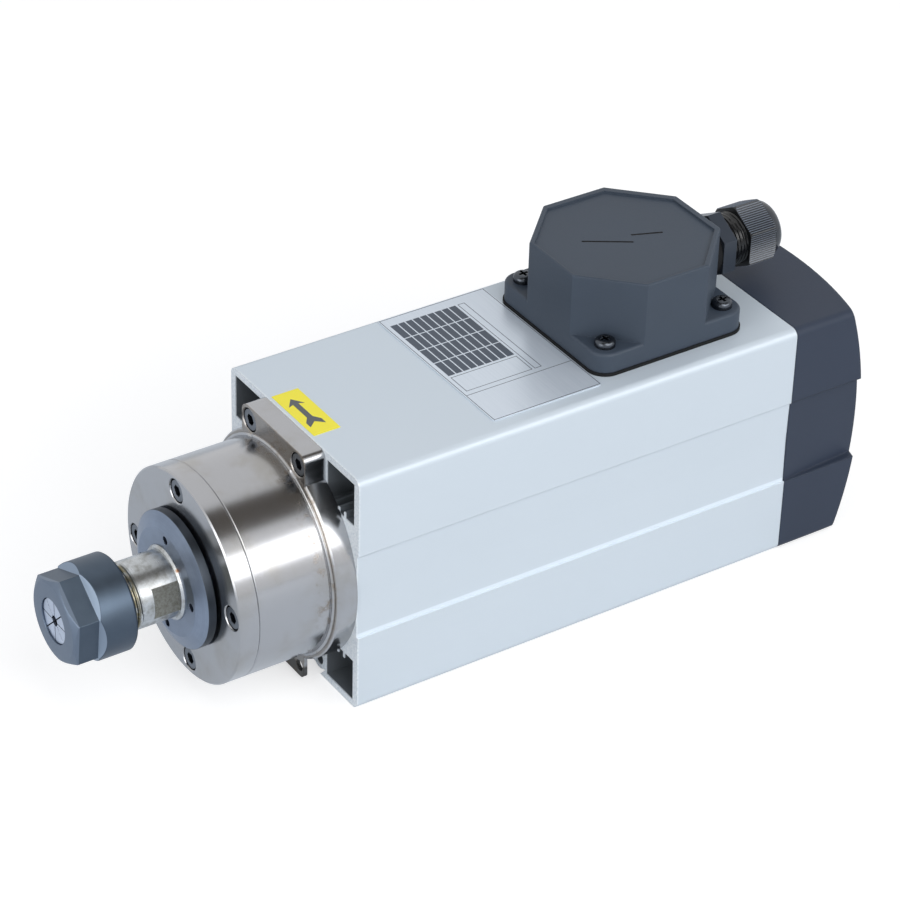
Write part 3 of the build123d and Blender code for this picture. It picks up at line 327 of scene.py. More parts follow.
def nose_finish():
    """Plated steel, with grime in front of the flange and painted shade on the foot."""
    material, shader, at = start_finish("nose_nickel", NOSE_COLOUR, 1.0, 0.2)
    y, z = at.apart()[1:]
    ring = rings(at, 0.0005)
    stain = noise(at, 0.018, 4.0, 0.6)
    dirt = noise(at, 0.0035, 5.0, 0.7)
    corner = between(y, FLANGE_FACE_Y - 0.0060, FLANGE_FACE_Y + 0.0006, 0.0020)
    grime = corner * dirt.smooth(0.48, 0.74) * 0.7
    flange = between(y, FLANGE_FACE_Y - 0.0003, FLANGE_FACE_Y + 0.0003)
    behind = y.smooth(FLANGE_FACE_Y - 0.0005, FLANGE_FACE_Y)
    # Painted shade: the foot below the flange is painted dark.
    foot = (1 - z.smooth(FOOT_LOW_Z, FOOT_HIGH_Z)) * behind
    colour = stain.smooth(0.45, 0.75).blend(NOSE_COLOUR, NOSE_STAIN)
    colour = flange.blend(colour, FLANGE_COLOUR)
    colour = (foot * (dirt * 0.4 + 0.6)).blend(colour, FOOT_SHADE_COLOUR)
    feed(shader, "Base Color", grime.blend(colour, NOSE_GRIME))
    feed(shader, "Roughness", ring * 0.06 + stain * 0.08 + grime * 0.25 + foot * 0.25 + 0.13)
    feed(shader, "Normal", bump(at, ring, 0.06, 0.0001, rounded(at, 0.0003)))
    return material


finishes["nose"] = nose_finish()
print("made", finishes["nose"].name)

# %% [markdown]
# ## Blackened, hardened and bright steel
# A hot salt bath leaves a blue grey skin on the cap and on the screws that still shines like
# metal. Hardened and zinc plated steel differ from it only in tone and gloss, so one function
# makes them all. A mask darkens what light hardly reaches: the cap's rim and the screws' sockets.

# %% Oxide finishes
OXIDE_SHADE = linear(78, 84, 92)
CAP_RIM_START, CAP_RIM_END = 0.02535, 0.02545
SOCKET_START, SOCKET_END = 0.0003, 0.01


def oxide_finish(name, tone, shine, dark_mask=None):
    """Blackened, hardened or bright steel, by its tone; a mask can darken some of it."""
    material, shader, at = start_finish(name, tone, 1.0, shine)
    ring = rings(at, 0.0004)
    cloud = noise(at, 0.006, 4.0)
    lighter = tuple(min(1.0, 1.25 * value) for value in tone[:3]) + (1.0,)
    colour = (cloud * 0.7 + ring * 0.3).smooth(0.3, 0.8).blend(tone, lighter)
    if dark_mask is not None:
        colour = dark_mask(at).blend(colour, OXIDE_SHADE)
    feed(shader, "Base Color", colour)
    feed(shader, "Roughness", cloud * 0.12 + ring * 0.08 + (shine - 0.1))
    feed(shader, "Normal", bump(at, ring, 0.08, 0.0001, rounded(at, 0.00025)))
    return material


def cap_rim(at):
    """1 on the dust cap's cylindrical rim."""
    return axis_distance(at).smooth(CAP_RIM_START, CAP_RIM_END)


def inside_sockets(at):
    """1 in the hexagon sockets of both rows of screws, deeper than the faces of their heads."""
    y = at.apart()[1]
    faces = [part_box(name)[0].y for name in ("front_cover_screws", "flange_screws")]
    first, second = [between(y, face + SOCKET_START, face + SOCKET_END) for face in faces]
    return first + second


finishes["cap"] = oxide_finish("cap_black_oxide", linear(126, 137, 154), 0.36, cap_rim)
finishes["screw_black"] = oxide_finish("screw_oxide", linear(108, 113, 120), 0.34, inside_sockets)
finishes["collet"] = oxide_finish("collet_hardened", linear(182, 191, 206), 0.32)
finishes["bearing"] = oxide_finish("bearing_steel", linear(190, 190, 190), 0.22)
finishes["zinc"] = oxide_finish("screw_bright_zinc", linear(150, 152, 156), 0.28)
finishes["box_screw"] = oxide_finish("box_screw_dark", linear(74, 78, 84), 0.26)
print("steel finishes:", len(finishes))

# %% [markdown]
# ## The nut's own black
# The nut is blackened too. Its front face is painted lighter, as painted light from the front, and
# its milled shoulders are painted lighter, partly for their freshly cut metal and partly as
# painted light on faces that turn to the front. Both lie at known distances along the axis, and a
# shoulder ends where the round skirt starts.

# %% Nut finish
NUT_DARK = linear(74, 85, 98)
NUT_COLOUR = linear(86, 98, 112)
NUT_FRONT_LIGHT = linear(112, 124, 140)
NUT_SHOULDER_LIGHT = linear(142, 156, 173)
SHOULDER_START_Y, SHOULDER_END_Y = 0.0089, 0.0110
SKIRT_START, SKIRT_END = 0.01765, 0.01780


def nut_finish():
    """Black oxide, with painted light on the front face and on the shoulders that the cutter left.
    """
    material, shader, at = start_finish("nut_black_oxide", NUT_COLOUR, 1.0, 0.4)
    y = at.apart()[1]
    cloud = noise(at, 0.006, 4.0)
    ring = rings(at, 0.0004)
    skirt = axis_distance(at).smooth(SKIRT_START, SKIRT_END)
    shoulder = between(y, SHOULDER_START_Y, SHOULDER_END_Y) * (1 - skirt)
    # Painted light: the front face and the shoulders are painted lighter where they face the
    # front.
    front = 1 - y.smooth(0.0013, 0.0016)
    colour = front.blend(cloud.blend(NUT_DARK, NUT_COLOUR), NUT_FRONT_LIGHT)
    feed(shader, "Base Color", shoulder.blend(colour, NUT_SHOULDER_LIGHT))
    feed(shader, "Roughness", cloud * 0.10 + ring * 0.06 + 0.34)
    feed(shader, "Normal", bump(at, ring, 0.05, 0.0001, rounded(at, 0.00025)))
    return material


finishes["oxide"] = nut_finish()
print("made", finishes["oxide"].name)

# %% [markdown]
# ## The shaft
# The neck is ground bright and a little oily. Its two wrench flats are milled, so they are duller
# and speckled. Grime sits in the thread, and beside one flat there is a small spot of rust, which
# isn't metal any more and so lowers Metallic as well.

# %% Shaft finish
SHAFT_CLEAN, SHAFT_OILY = linear(190, 194, 197), linear(140, 140, 136)
FLAT_LIGHT, FLAT_DARK = linear(140, 141, 136), linear(112, 110, 100)
THREAD_GRIME, RUST_COLOUR = linear(128, 122, 100), linear(170, 108, 40)
WRENCH_TURN = math.radians(8.0)
WRENCH_START_Y, WRENCH_END_Y = 0.0318, 0.0425
WRENCH_LOW, WRENCH_HIGH = 0.01092, 0.01105
THREAD_FADE_Y, THREAD_END_Y = 0.0262, 0.0278
RUST_PLACE = (0.0088, 0.0431, 0.0103)


def shaft_finish():
    """Ground steel with milled wrench flats, a grimy thread and one spot of rust."""
    material, shader, at = start_finish("shaft_ground", SHAFT_CLEAN, 1.0, 0.3)
    x, y, z = at.apart()
    ring = rings(at, 0.0003)
    grime = noise(at, 0.004, 5.0, 0.65)
    speck = noise(at, 0.0009, 4.0, 0.7)
    across = (x * math.cos(WRENCH_TURN) + z * math.sin(WRENCH_TURN)).absolute()
    flat = between(across, WRENCH_LOW, WRENCH_HIGH) * between(y, WRENCH_START_Y, WRENCH_END_Y)
    east, north, up = x - RUST_PLACE[0], y - RUST_PLACE[1], z - RUST_PLACE[2]
    spot = (east * east + north * north + up * up).power(0.5)
    rust = 1 - (spot + grime * 0.0016).smooth(0.0008, 0.0020)
    thread = (1 - y.smooth(THREAD_FADE_Y, THREAD_END_Y)) * grime.smooth(0.30, 0.55)
    clean = grime.smooth(0.40, 0.75).blend(SHAFT_CLEAN, SHAFT_OILY)
    milled = speck.smooth(0.35, 0.75).blend(FLAT_LIGHT, FLAT_DARK)
    worn = thread.blend(flat.blend(clean, milled), THREAD_GRIME)
    feed(shader, "Base Color", rust.blend(worn, RUST_COLOUR))
    feed(shader, "Roughness", grime * 0.20 + ring * 0.08 + flat * 0.25 + 0.16)
    feed(shader, "Metallic", 1 - rust * 0.8)
    height = ring * 0.5 + grime * 0.3 + flat * speck
    feed(shader, "Normal", bump(at, height, 0.12, 0.0002, rounded(at, 0.0002)))
    return material


finishes["shaft"] = shaft_finish()
print("made", finishes["shaft"].name)

# %% [markdown]
# ## Moulded plastics and rubber
# The fan cover and the terminal box come from spark-eroded moulds, which leave a fine even grain.
# Rubber is darker and fully matt. All have soft edges, which the Bevel node rounds over without
# any new faces. A little dust on plain pieces shows as a second, lighter tone.

# %% Plastics
def plastic_start(name, tone, shine, grain_size, grain_depth, edge=0.0006, specular=0.5):
    """A moulded plastic with its gloss and its grain, and the clouds for its colour."""
    material, shader, at = start_finish(name, tone, 0.0, shine, Specular_IOR_Level=specular)
    grain = noise(at, grain_size, 2.0)
    cloud = noise(at, 0.03, 3.0)
    feed(shader, "Roughness", grain * 0.12 + cloud * 0.08 + (shine - 0.1))
    feed(shader, "Normal", bump(at, grain, 0.25, grain_depth, rounded(at, edge)))
    return material, shader, at, cloud


def plastic_finish(name, tone, lighter, **surface):
    """A plain moulded plastic in two close tones."""
    material, shader, at, cloud = plastic_start(name, tone, **surface)
    dust = noise(at, 0.0016, 5.0, 0.7).smooth(0.62, 0.80)
    feed(shader, "Base Color", (cloud * 0.75 + dust * 0.25).blend(tone, lighter))
    return material


finishes["hood"] = plastic_finish(
    "cover_plastic", linear(47, 55, 70), linear(55, 64, 81),
    shine=0.50, grain_size=0.0005, grain_depth=0.00012, edge=0.0014, specular=0.25)
finishes["rubber"] = plastic_finish(
    "seal_rubber", linear(20, 21, 23), linear(28, 29, 31),
    shine=0.75, grain_size=0.0006, grain_depth=0.00015, specular=0.2)
finishes["block"] = plastic_finish(
    "block_plastic", linear(206, 198, 180), linear(214, 208, 192),
    shine=0.45, grain_size=0.0008, grain_depth=0.00008)
print("plastic finishes ready")

# %% [markdown]
# ## The terminal box
# Its lid shows two short slanting lines, painted dark. A line is the part of the x-y
# plane that lies near enough to the way from one point to another, so it needs no texture.

# %% Box finish
BOX_TONE = linear(56, 65, 77)
BOX_LIGHTER = linear(64, 74, 87)
BOX_LINE_COLOUR = linear(22, 24, 28)
BOX_MIDDLE_Y = 0.2337
BOX_LINES = [
    ((-0.0054, BOX_MIDDLE_Y - 0.0154), (0.0045, BOX_MIDDLE_Y + 0.0004)),
    ((0.0, BOX_MIDDLE_Y + 0.0025), (0.0043, BOX_MIDDLE_Y + 0.0135)),
]
LID_LOW_Z, LID_HIGH_Z = 0.0770, 0.0775


def bar(x, y, start, end, half_width=0.0005):
    """1 within a straight bar between two points of the x-y plane, in metres."""
    length = math.dist(start, end)
    along_x = (end[0] - start[0]) / length
    along_y = (end[1] - start[1]) / length
    east = x - start[0]
    north = y - start[1]
    along = east * along_x + north * along_y
    across = east * along_y - north * along_x
    return between(along, 0.0, length) * between(across, -half_width, half_width)


def box_finish():
    """The box's plastic, with the two lines on its lid."""
    material, shader, at, cloud = plastic_start(
        "box_plastic", BOX_TONE, shine=0.48, grain_size=0.0005, grain_depth=0.00012,
        edge=0.0004, specular=0.3)
    x, y, z = at.apart()
    first, second = [bar(x, y, start, end) for start, end in BOX_LINES]
    lines = (first + second) * z.smooth(LID_LOW_Z, LID_HIGH_Z)
    feed(shader, "Base Color", lines.blend(cloud.blend(BOX_TONE, BOX_LIGHTER), BOX_LINE_COLOUR))
    return material


finishes["box"] = box_finish()
print("made", finishes["box"].name)

# %% [markdown]
# ## The cable gland
# Polished nylon has sharp highlights. The hexagon is a grey blue, and the thread beside it lies in
# the dome nut's shade and is painted nearly black. On the dome nut the rib crests are painted
# light, as painted highlights, and the valleys dark, as painted shade: a crest is found by how far
# a point is from the axis, square to the nearest of the flats.

# %% Gland finishes
GLAND_TONE = linear(46, 53, 62)
GLAND_LIGHTER = linear(54, 61, 72)
GLAND_THREAD_TONE = linear(17, 18, 20)
GLAND_THREAD_START_Y, GLAND_THREAD_END_Y = 0.27665, 0.2845
RIB_VALLEY_SHADE, RIB_CREST_HIGHLIGHT = linear(18, 20, 23), linear(104, 112, 124)
RIB_VALLEY, RIB_CREST = 0.01096, 0.01126
DOME_TONE = linear(44, 49, 56)
DOME_START_Y = 0.2942
GLAND_AXIS_Z = 66.0


def gland_finish():
    """The gland's nylon: grey blue on the hexagon, dark and glossy on the thread."""
    material, shader, at = start_finish("gland_nylon", GLAND_TONE, 0.0, 0.28)
    thread = between(at.apart()[1], GLAND_THREAD_START_Y, GLAND_THREAD_END_Y)
    plain = noise(at, 0.03, 3.0).blend(GLAND_TONE, GLAND_LIGHTER)
    feed(shader, "Base Color", thread.blend(plain, GLAND_THREAD_TONE))
    feed(shader, "Roughness", 0.28 - thread * 0.10)
    feed(shader, "Normal", bump(at, noise(at, 0.002, 2.0), 0.25, 0.00003, rounded(at, 0.0001)))
    return material


def dome_nut_finish():
    """The dome nut's nylon: painted highlights on the rib crests, painted shade in the valleys and
    a polished dome.
    """
    material, shader, at = start_finish("dome_nut_nylon", DOME_TONE, 0.0, 0.25)
    x, y, z = at.apart()
    rise = z - GLAND_AXIS_Z * MM
    side = x.absolute()
    for degrees in (60, 120):
        turn = math.radians(degrees)
        side = side.larger((x * math.cos(turn) + rise * math.sin(turn)).absolute())
    crest = side.smooth(RIB_VALLEY, RIB_CREST)
    dome = y.smooth(DOME_START_Y, DOME_START_Y + 0.0004)
    # Painted highlight on the rib crests and painted shade in the valleys between them.
    ribbed = crest.blend(RIB_VALLEY_SHADE, RIB_CREST_HIGHLIGHT)
    feed(shader, "Base Color", dome.blend(ribbed, DOME_TONE))
    feed(shader, "Roughness", 0.34 - dome * 0.14)
    feed(shader, "Normal", bump(at, noise(at, 0.002, 2.0), 0.05, 0.00003))
    return material


finishes["nylon"] = gland_finish()
finishes["dome_nut"] = dome_nut_finish()
print("made", finishes["nylon"].name, "and", finishes["dome_nut"].name)

# %% [markdown]
# ## What is hidden
# The motor's inside shows only when the cover is off, but a model of it is still looked at piece
# by piece. Stacked plates show fine lines across the axis, and copper wire shows its turns.

# %% Core plates, copper and castings
def core_finish():
    """Stacked plates, as fine bands along Y."""
    material, shader, at = start_finish("core_plates", linear(92, 92, 94), 0.8, 0.45)
    sheet = at.node("ShaderNodeTexWave", {"bands_direction": "Y"}, Vector=at, Scale=320.0)
    feed(shader, "Base Color", sheet.blend(linear(70, 70, 72), linear(110, 110, 112)))
    feed(shader, "Roughness", sheet * 0.15 + 0.38)
    feed(shader, "Normal", bump(at, sheet, 0.3, 0.0002))
    return material


def copper_finish():
    """Enamelled wire, as streaks along the windings."""
    material, shader, at = start_finish("enamelled_copper", linear(184, 96, 48), 0.85, 0.3)
    wire = noise(stretched(at, 1.0, 0.05, 1.0), 0.0007, 2.0)
    feed(shader, "Base Color", wire.blend(linear(150, 70, 34), linear(206, 118, 62)))
    feed(shader, "Roughness", wire * 0.2 + 0.22)
    feed(shader, "Normal", bump(at, wire, 0.6, 0.0004))
    return material


def cast_finish():
    """Cast aluminium with a fine grain."""
    material, shader, at = start_finish("cast_aluminium", linear(168, 170, 172), 0.9, 0.45)
    grain = noise(at, 0.0012, 4.0, 0.6)
    feed(shader, "Base Color", grain.blend(linear(150, 152, 154), linear(182, 184, 186)))
    feed(shader, "Roughness", grain * 0.2 + 0.35)
    feed(shader, "Normal", bump(at, grain, 0.3, 0.0003, rounded(at, 0.0004)))
    return material


def brass_finish():
    """Turned brass."""
    material, shader, at = start_finish("turned_brass", linear(196, 160, 88), 1.0, 0.3)
    cloud = noise(at, 0.003, 4.0)
    feed(shader, "Base Color", cloud.blend(linear(176, 140, 72), linear(212, 178, 104)))
    feed(shader, "Roughness", cloud * 0.15 + 0.22)
    feed(shader, "Normal", bump(at, cloud, 0.05, 0.0001, rounded(at, 0.0002)))
    return material


finishes["core"] = core_finish()
finishes["copper"] = copper_finish()
finishes["cast"] = cast_finish()
finishes["brass"] = brass_finish()
print("inner finishes ready")

# %% [markdown]
# ## The plates on the top face
# The rating plate is thin brushed metal with printed rules. Its words stay off, but its frame,
# its divider and its dark table cells are plain ruled shapes, so they are drawn by the shader:
# each rule is a band in x or in y, and the bands are added up to one mask.

# %% Rating plate
PLATE_LOW, PLATE_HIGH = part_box("rating_plate")
PLATE_INSET = 0.0004
RULE_WIDTH = 0.00028
DIVIDER_X = 0.0172
TABLE_LEFT = PLATE_LOW.x + PLATE_INSET + 0.0048
TABLE_RIGHT = 0.0035
TABLE_NEAR = PLATE_LOW.y + PLATE_INSET + 0.0018
TABLE_FAR = PLATE_LOW.y + PLATE_INSET + 0.0298
TABLE_COLUMNS, TABLE_ROWS = 4, 9
CELL_GAP = 0.00024
EMPTY_BOXES_RIGHT = 0.0150


def frame_lines(x, y, low_x, low_y, high_x, high_y):
    """The outline of a rectangle, as a mask."""
    outer = between(x, low_x, high_x) * between(y, low_y, high_y)
    inner = between(x, low_x + RULE_WIDTH, high_x - RULE_WIDTH)
    return outer - inner * between(y, low_y + RULE_WIDTH, high_y - RULE_WIDTH)


def table_cells(x, y):
    """A dark rectangle that thin gaps divide into columns and rows of cells."""
    table = between(x, TABLE_LEFT, TABLE_RIGHT) * between(y, TABLE_NEAR, TABLE_FAR)
    column = (TABLE_RIGHT - TABLE_LEFT) / TABLE_COLUMNS
    row = (TABLE_FAR - TABLE_NEAR) / TABLE_ROWS
    gaps = [(x, TABLE_LEFT + i * column) for i in range(1, TABLE_COLUMNS)]
    gaps += [(y, TABLE_NEAR + i * row) for i in range(1, TABLE_ROWS)]
    for axis, middle in gaps:
        table = table * (1 - between(axis, middle - CELL_GAP, middle + CELL_GAP))
    return table


def plate_ink(x, y):
    """1 wherever the plate is printed: its frame, its divider, its table and its empty boxes."""
    left, near = PLATE_LOW.x + PLATE_INSET, PLATE_LOW.y + PLATE_INSET
    right, far = PLATE_HIGH.x - PLATE_INSET, PLATE_HIGH.y - PLATE_INSET
    ink = frame_lines(x, y, left, near, right, far)
    ink = ink + between(x, DIVIDER_X, DIVIDER_X + RULE_WIDTH) * between(y, near, far)
    ink = ink + table_cells(x, y)
    ink = ink + frame_lines(
        x, y, TABLE_LEFT, TABLE_FAR + 0.0010, EMPTY_BOXES_RIGHT, TABLE_FAR + 0.0040)
    ink = ink + frame_lines(
        x, y, TABLE_RIGHT + 0.0012, TABLE_NEAR, EMPTY_BOXES_RIGHT, TABLE_FAR)
    return ink.smooth(0.2, 0.8)


def plate_finish():
    """Brushed metal with dark print."""
    material, shader, at = start_finish("plate_brushed", linear(206, 215, 226), 0.35, 0.35)
    x, y, _ = at.apart()
    mask = plate_ink(x, y)
    streak = noise(stretched(at, 0.03, 1.0, 1.0), 0.0006, 3.0)
    bare = streak.blend(linear(202, 212, 223), linear(218, 226, 235))
    feed(shader, "Base Color", mask.blend(bare, linear(66, 76, 90)))
    feed(shader, "Roughness", streak * 0.12 + mask * 0.12 + 0.28)
    feed(shader, "Metallic", 0.35 - mask * 0.3)
    feed(shader, "Normal", bump(at, streak, 0.05, 0.0001, rounded(at, 0.0001)))
    return material


finishes["plate"] = plate_finish()
print("plate", list(PLATE_LOW), list(PLATE_HIGH))

# %% [markdown]
# ## Films: the label, its ink and the leads
# A printed film and the skin of a wire are smooth plastic under a thin clear layer, which the
# shader's coat gives. The yellow label itself is a CAD sheet, so only its finish is made here.

# %% Film finishes
def film_finish(name, tone, lighter):
    """A smooth coloured film with a clear coat."""
    material, shader, at = start_finish(
        name, tone, 0.0, 0.38, Coat_Weight=0.25, Coat_Roughness=0.2)
    cloud = noise(at, 0.004, 4.0)
    feed(shader, "Base Color", cloud.blend(tone, lighter))
    feed(shader, "Roughness", cloud * 0.15 + 0.30)
    feed(shader, "Normal", bump(at, noise(at, 0.0012, 2.0), 0.04, 0.0002))
    return material


finishes["label"] = film_finish("label_yellow", linear(244, 230, 30), linear(250, 238, 48))
finishes["ink"] = film_finish("label_ink", linear(62, 68, 74), linear(72, 78, 84))
finishes["lead"] = film_finish("lead_insulation", linear(40, 42, 46), linear(54, 56, 60))
print("all finishes:", len(finishes))

# %% [markdown]
# ## Handing the finishes to the CAD nodes
# A CAD node whose shape is right stays as it is and only gets a better material.

# %% Which node takes which finish
NODE_FINISHES = {
    "housing": ["motor_housing"],
    "nose": ["nose_housing", "front_cover"],
    "oxide": ["collet_nut"],
    "cap": ["dust_cap"],
    "screw_black": ["front_cover_screws", "flange_screws"],
    "shaft": ["spindle_shaft"],
    "collet": ["collet"],
    "bearing": ["front_bearing_inner_rings", "front_bearing_outer_rings", "front_bearing_balls",
                "rear_bearing_inner_rings", "rear_bearing_outer_rings", "rear_bearing_balls",
                "preload_spring"],
    "brass": ["front_bearing_cages", "rear_bearing_cages", "terminal_studs", "earth_screw"],
    "core": ["stator_core", "rotor_core"],
    "copper": ["stator_windings"],
    "cast": ["rear_bearing_plate", "rotor_end_rings"],
    "zinc": ["rear_plate_screws", "fan_cover_screws", "fan_circlip"],
    "box_screw": ["terminal_box_screws"],
    "hood": ["fan_cover"],
    "box": ["terminal_box"],
    "nylon": ["cooling_fan", "gland_body", "gland_locknut", "gland_nut"],
    "rubber": ["terminal_gasket", "gland_washer", "gland_seal"],
    "block": ["terminal_block"],
    "lead": ["motor_leads"],
    "plate": ["rating_plate"],
    "label": ["direction_label"],
}


def dress(thing, finish):
    """Give every material slot of an object the same finish."""
    thing.data.materials.clear()
    thing.data.materials.append(finishes[finish])


for finish, names in NODE_FINISHES.items():
    for name in names:
        dress(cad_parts[name], finish)
print("dressed", sum(len(names) for names in NODE_FINISHES.values()), "nodes")

# %% [markdown]
# ## Tools for modelling in code
# Each new piece below starts as a primitive and is shaped in edit mode, as it would be by hand.
# An operator acts on what is selected, so these helpers clear the selection and then pick faces or
# edges by where they are. Closing a shape merges its doubles first and turns its faces outwards
# after that, because faces can only agree on a direction once they share their edges.

# %% Selecting and settling
def only(piece):
    """Select one object alone and make it the active one."""
    bpy.ops.object.select_all(action="DESELECT")
    piece.select_set(True)
    bpy.context.view_layer.objects.active = piece


def start_edit(piece, kind):
    """Open an object in edit mode with nothing selected."""
    only(piece)
    bpy.ops.object.mode_set(mode="EDIT")
    bpy.ops.mesh.select_mode(type=kind)
    bpy.ops.mesh.select_all(action="DESELECT")


def pick_edges(piece, wanted):
    """In edit mode, select the edges whose two ends both pass a test."""
    mesh = bmesh.from_edit_mesh(piece.data)
    for edge in mesh.edges:
        edge.select_set(all(wanted(corner.co) for corner in edge.verts))
    bmesh.update_edit_mesh(piece.data)


def end_edit():
    """Merge doubles, turn all faces outwards and go back to object mode."""
    bpy.ops.mesh.select_all(action="SELECT")
    bpy.ops.mesh.remove_doubles(threshold=1e-6)
    bpy.ops.mesh.normals_make_consistent(inside=False)
    bpy.ops.object.mode_set(mode="OBJECT")


def settle(piece):
    """Put an object's place, turn and scale into its mesh."""
    only(piece)
    bpy.ops.object.transform_apply(location=True, rotation=True, scale=True)


print("selection helpers ready")

# %% [markdown]
# ## Turning on a lathe
# A turned part is drawn as its outline, in radius and place along the axis. One circle is extruded
# from point to point of that outline and scaled to the next radius each time. The last ring falls
# on the first one and is merged with it, so the piece is closed.

# %% Turned pieces
def turned_piece(name, outline, sides=96, centre_z=0.0):
    """Turn a closed outline of (radius, y) points in millimetres about an axis along Y."""
    bpy.ops.object.select_all(action="DESELECT")
    radius, y = outline[0]
    bpy.ops.mesh.primitive_circle_add(
        vertices=sides, radius=radius * MM, location=(0, y * MM, centre_z * MM),
        rotation=(math.radians(90), 0, 0))
    piece = bpy.context.object
    piece.name = name
    bpy.ops.object.mode_set(mode="EDIT")
    bpy.ops.mesh.select_mode(type="EDGE")
    bpy.ops.mesh.select_all(action="SELECT")
    for next_radius, next_y in outline[1:] + outline[:1]:
        step = (0, (next_y - y) * MM, 0)
        bpy.ops.mesh.extrude_region_move(TRANSFORM_OT_translate={"value": step})
        share = next_radius / radius
        bpy.ops.transform.resize(
            value=(share, 1, share), center_override=(0, next_y * MM, centre_z * MM))
        radius = next_radius
        y = next_y
    end_edit()
    settle(piece)
    return piece


def turn_about_y(piece, degrees):
    """Turn a piece about the spindle axis, clockwise as seen from the tool's side."""
    start_edit(piece, "FACE")
    bpy.ops.mesh.select_all(action="SELECT")
    bpy.ops.transform.rotate(
        value=-math.radians(degrees), orient_axis="Y", center_override=(0, 0, 0))
    end_edit()


print("lathe ready")

# %% [markdown]
# ## Milling, breaking edges and handing over
# A boolean modifier does the milling: it takes one solid from another, or keeps what two solids
# share. No real edge is perfectly sharp, so a small bevel follows. Shading by angle keeps the
# flats flat. Each finished piece is hung under the body that carries it, and the CAD nodes that it
# stands for are hidden.

# %% Carving and finishing
def carve(piece, tool, operation):
    """Apply one boolean between two objects and delete the tool."""
    only(piece)
    bpy.ops.object.modifier_add(type="BOOLEAN")
    step = piece.modifiers[-1]
    step.operation = operation
    step.solver = "EXACT"
    step.object = tool
    bpy.ops.object.modifier_apply(modifier=step.name)
    only(tool)
    bpy.ops.object.delete()


def break_edges(piece, width):
    """Round over every sharp edge by a width in millimetres, and shade by angle."""
    only(piece)
    bpy.ops.object.modifier_add(type="BEVEL")
    step = piece.modifiers[-1]
    step.width = width * MM
    step.segments = 2
    step.limit_method = "ANGLE"
    step.angle_limit = math.radians(30)
    bpy.ops.object.modifier_apply(modifier=step.name)
    bpy.ops.object.shade_smooth_by_angle(angle=math.radians(12))


def hand_over(piece, finish, body, slot, *replaced):
    """Give a finished piece its material and its body, and hide the nodes that it stands for. The
    slot is not used.
    """
    dress(piece, finish)
    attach(piece, body)
    if replaced:
        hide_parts(*replaced)
    print(piece.name, len(piece.data.polygons), "faces")


print("carving tools ready")

# %% [markdown]
# ## The collet nut
# The real nut is turned from bar, and six flats are milled on its front end. The milling cutter
# leaves a slanted shoulder, so each flat ends in a crescent. The same order works here: turn the
# blank, cut the flats with a hexagonal ring, then break the edges so that they catch the light.

# %% Collet nut
HEXAGON_START = 30.0
NUT_FLAT_TURN = 22.8
NUT_FLATS = 30.0
NUT_FACE = -0.6
NUT_SHOULDER = 8.9
CUTTER_FRONT = -3.0
CUTTER_RADIUS = 60.0
CUTTER_RISE = 23.3
NUT_OUTLINE = [
    (8.5, NUT_FACE), (14.3, NUT_FACE), (17.9, 1.5), (17.9, 22.1), (17.2, 22.9), (12.7, 22.9),
    (12.7, 5.35), (9.3, 5.35), (9.3, 3.6), (10.15, 3.3), (8.5, 0.42)]


def collet_nut():
    """The turned blank with six flats milled on its front end."""
    nut = turned_piece("collet_nut_turned", NUT_OUTLINE, 128)
    corner = NUT_FLATS / math.sqrt(3)
    ring = [(corner, CUTTER_FRONT), (CUTTER_RADIUS, CUTTER_FRONT),
            (CUTTER_RADIUS, NUT_SHOULDER + CUTTER_RISE), (corner, NUT_SHOULDER)]
    cutter = turned_piece("flat_cutter", ring, 6)
    turn_about_y(cutter, HEXAGON_START - NUT_FLAT_TURN)
    carve(nut, cutter, "DIFFERENCE")
    break_edges(nut, 0.22)
    return nut


hand_over(collet_nut(), "oxide", "collet_nut", "black_oxide_steel", "collet_nut")

# %% [markdown]
# ## Threads
# A thread is one small ridge wound round a core. The Screw modifier does this: it turns a flat
# outline about an axis and moves it along by the pitch at each turn. The outline is a trapezium,
# and the wound strip is capped at both ends to leave a closed solid on the plain CAD core.

# %% Wound ridges
THREAD_PITCH = 1.5
RIDGE_FOOT = 0.86
RIDGE_TOP = 0.22
RIDGE_STEPS = 56


def wound_ridge(name, core, crest, start, turns, centre_z=0.0):
    """A right-handed thread ridge about an axis along Y, from a start in millimetres."""
    bpy.ops.object.select_all(action="DESELECT")
    middle = (core + crest) / 2
    bpy.ops.mesh.primitive_plane_add(size=1.0, location=(middle * MM, start * MM, 0))
    ridge = bpy.context.object
    ridge.name = name
    ridge.scale = ((crest - core) * MM, THREAD_PITCH * RIDGE_FOOT * MM, 1)
    settle(ridge)
    start_edit(ridge, "EDGE")
    pick_edges(ridge, lambda at: at.x > middle * MM)
    bpy.ops.transform.resize(
        value=(1, RIDGE_TOP, 1), center_override=(crest * MM, start * MM, 0))
    bpy.ops.mesh.select_all(action="SELECT")
    bpy.ops.mesh.delete(type="ONLY_FACE")
    bpy.ops.object.mode_set(mode="OBJECT")
    bpy.ops.object.modifier_add(type="SCREW")
    step = ridge.modifiers[-1]
    step.axis = "Y"
    step.angle = math.radians(360)
    step.screw_offset = THREAD_PITCH * MM
    step.iterations = turns
    step.steps = RIDGE_STEPS
    step.render_steps = RIDGE_STEPS
    bpy.ops.object.modifier_apply(modifier=step.name)
    start_edit(ridge, "EDGE")
    bpy.ops.mesh.select_non_manifold()
    bpy.ops.mesh.fill_holes(sides=4)
    bpy.ops.mesh.select_all(action="SELECT")
    bpy.ops.transform.translate(value=(0, 0, centre_z * MM))
    end_edit()
    bpy.ops.object.shade_smooth_by_angle(angle=math.radians(25))
    return ridge


shaft_thread = wound_ridge("shaft_thread", 12.02, 12.5, 8.2, 13)
hand_over(shaft_thread, "shaft", "rotor", "shaft_steel")

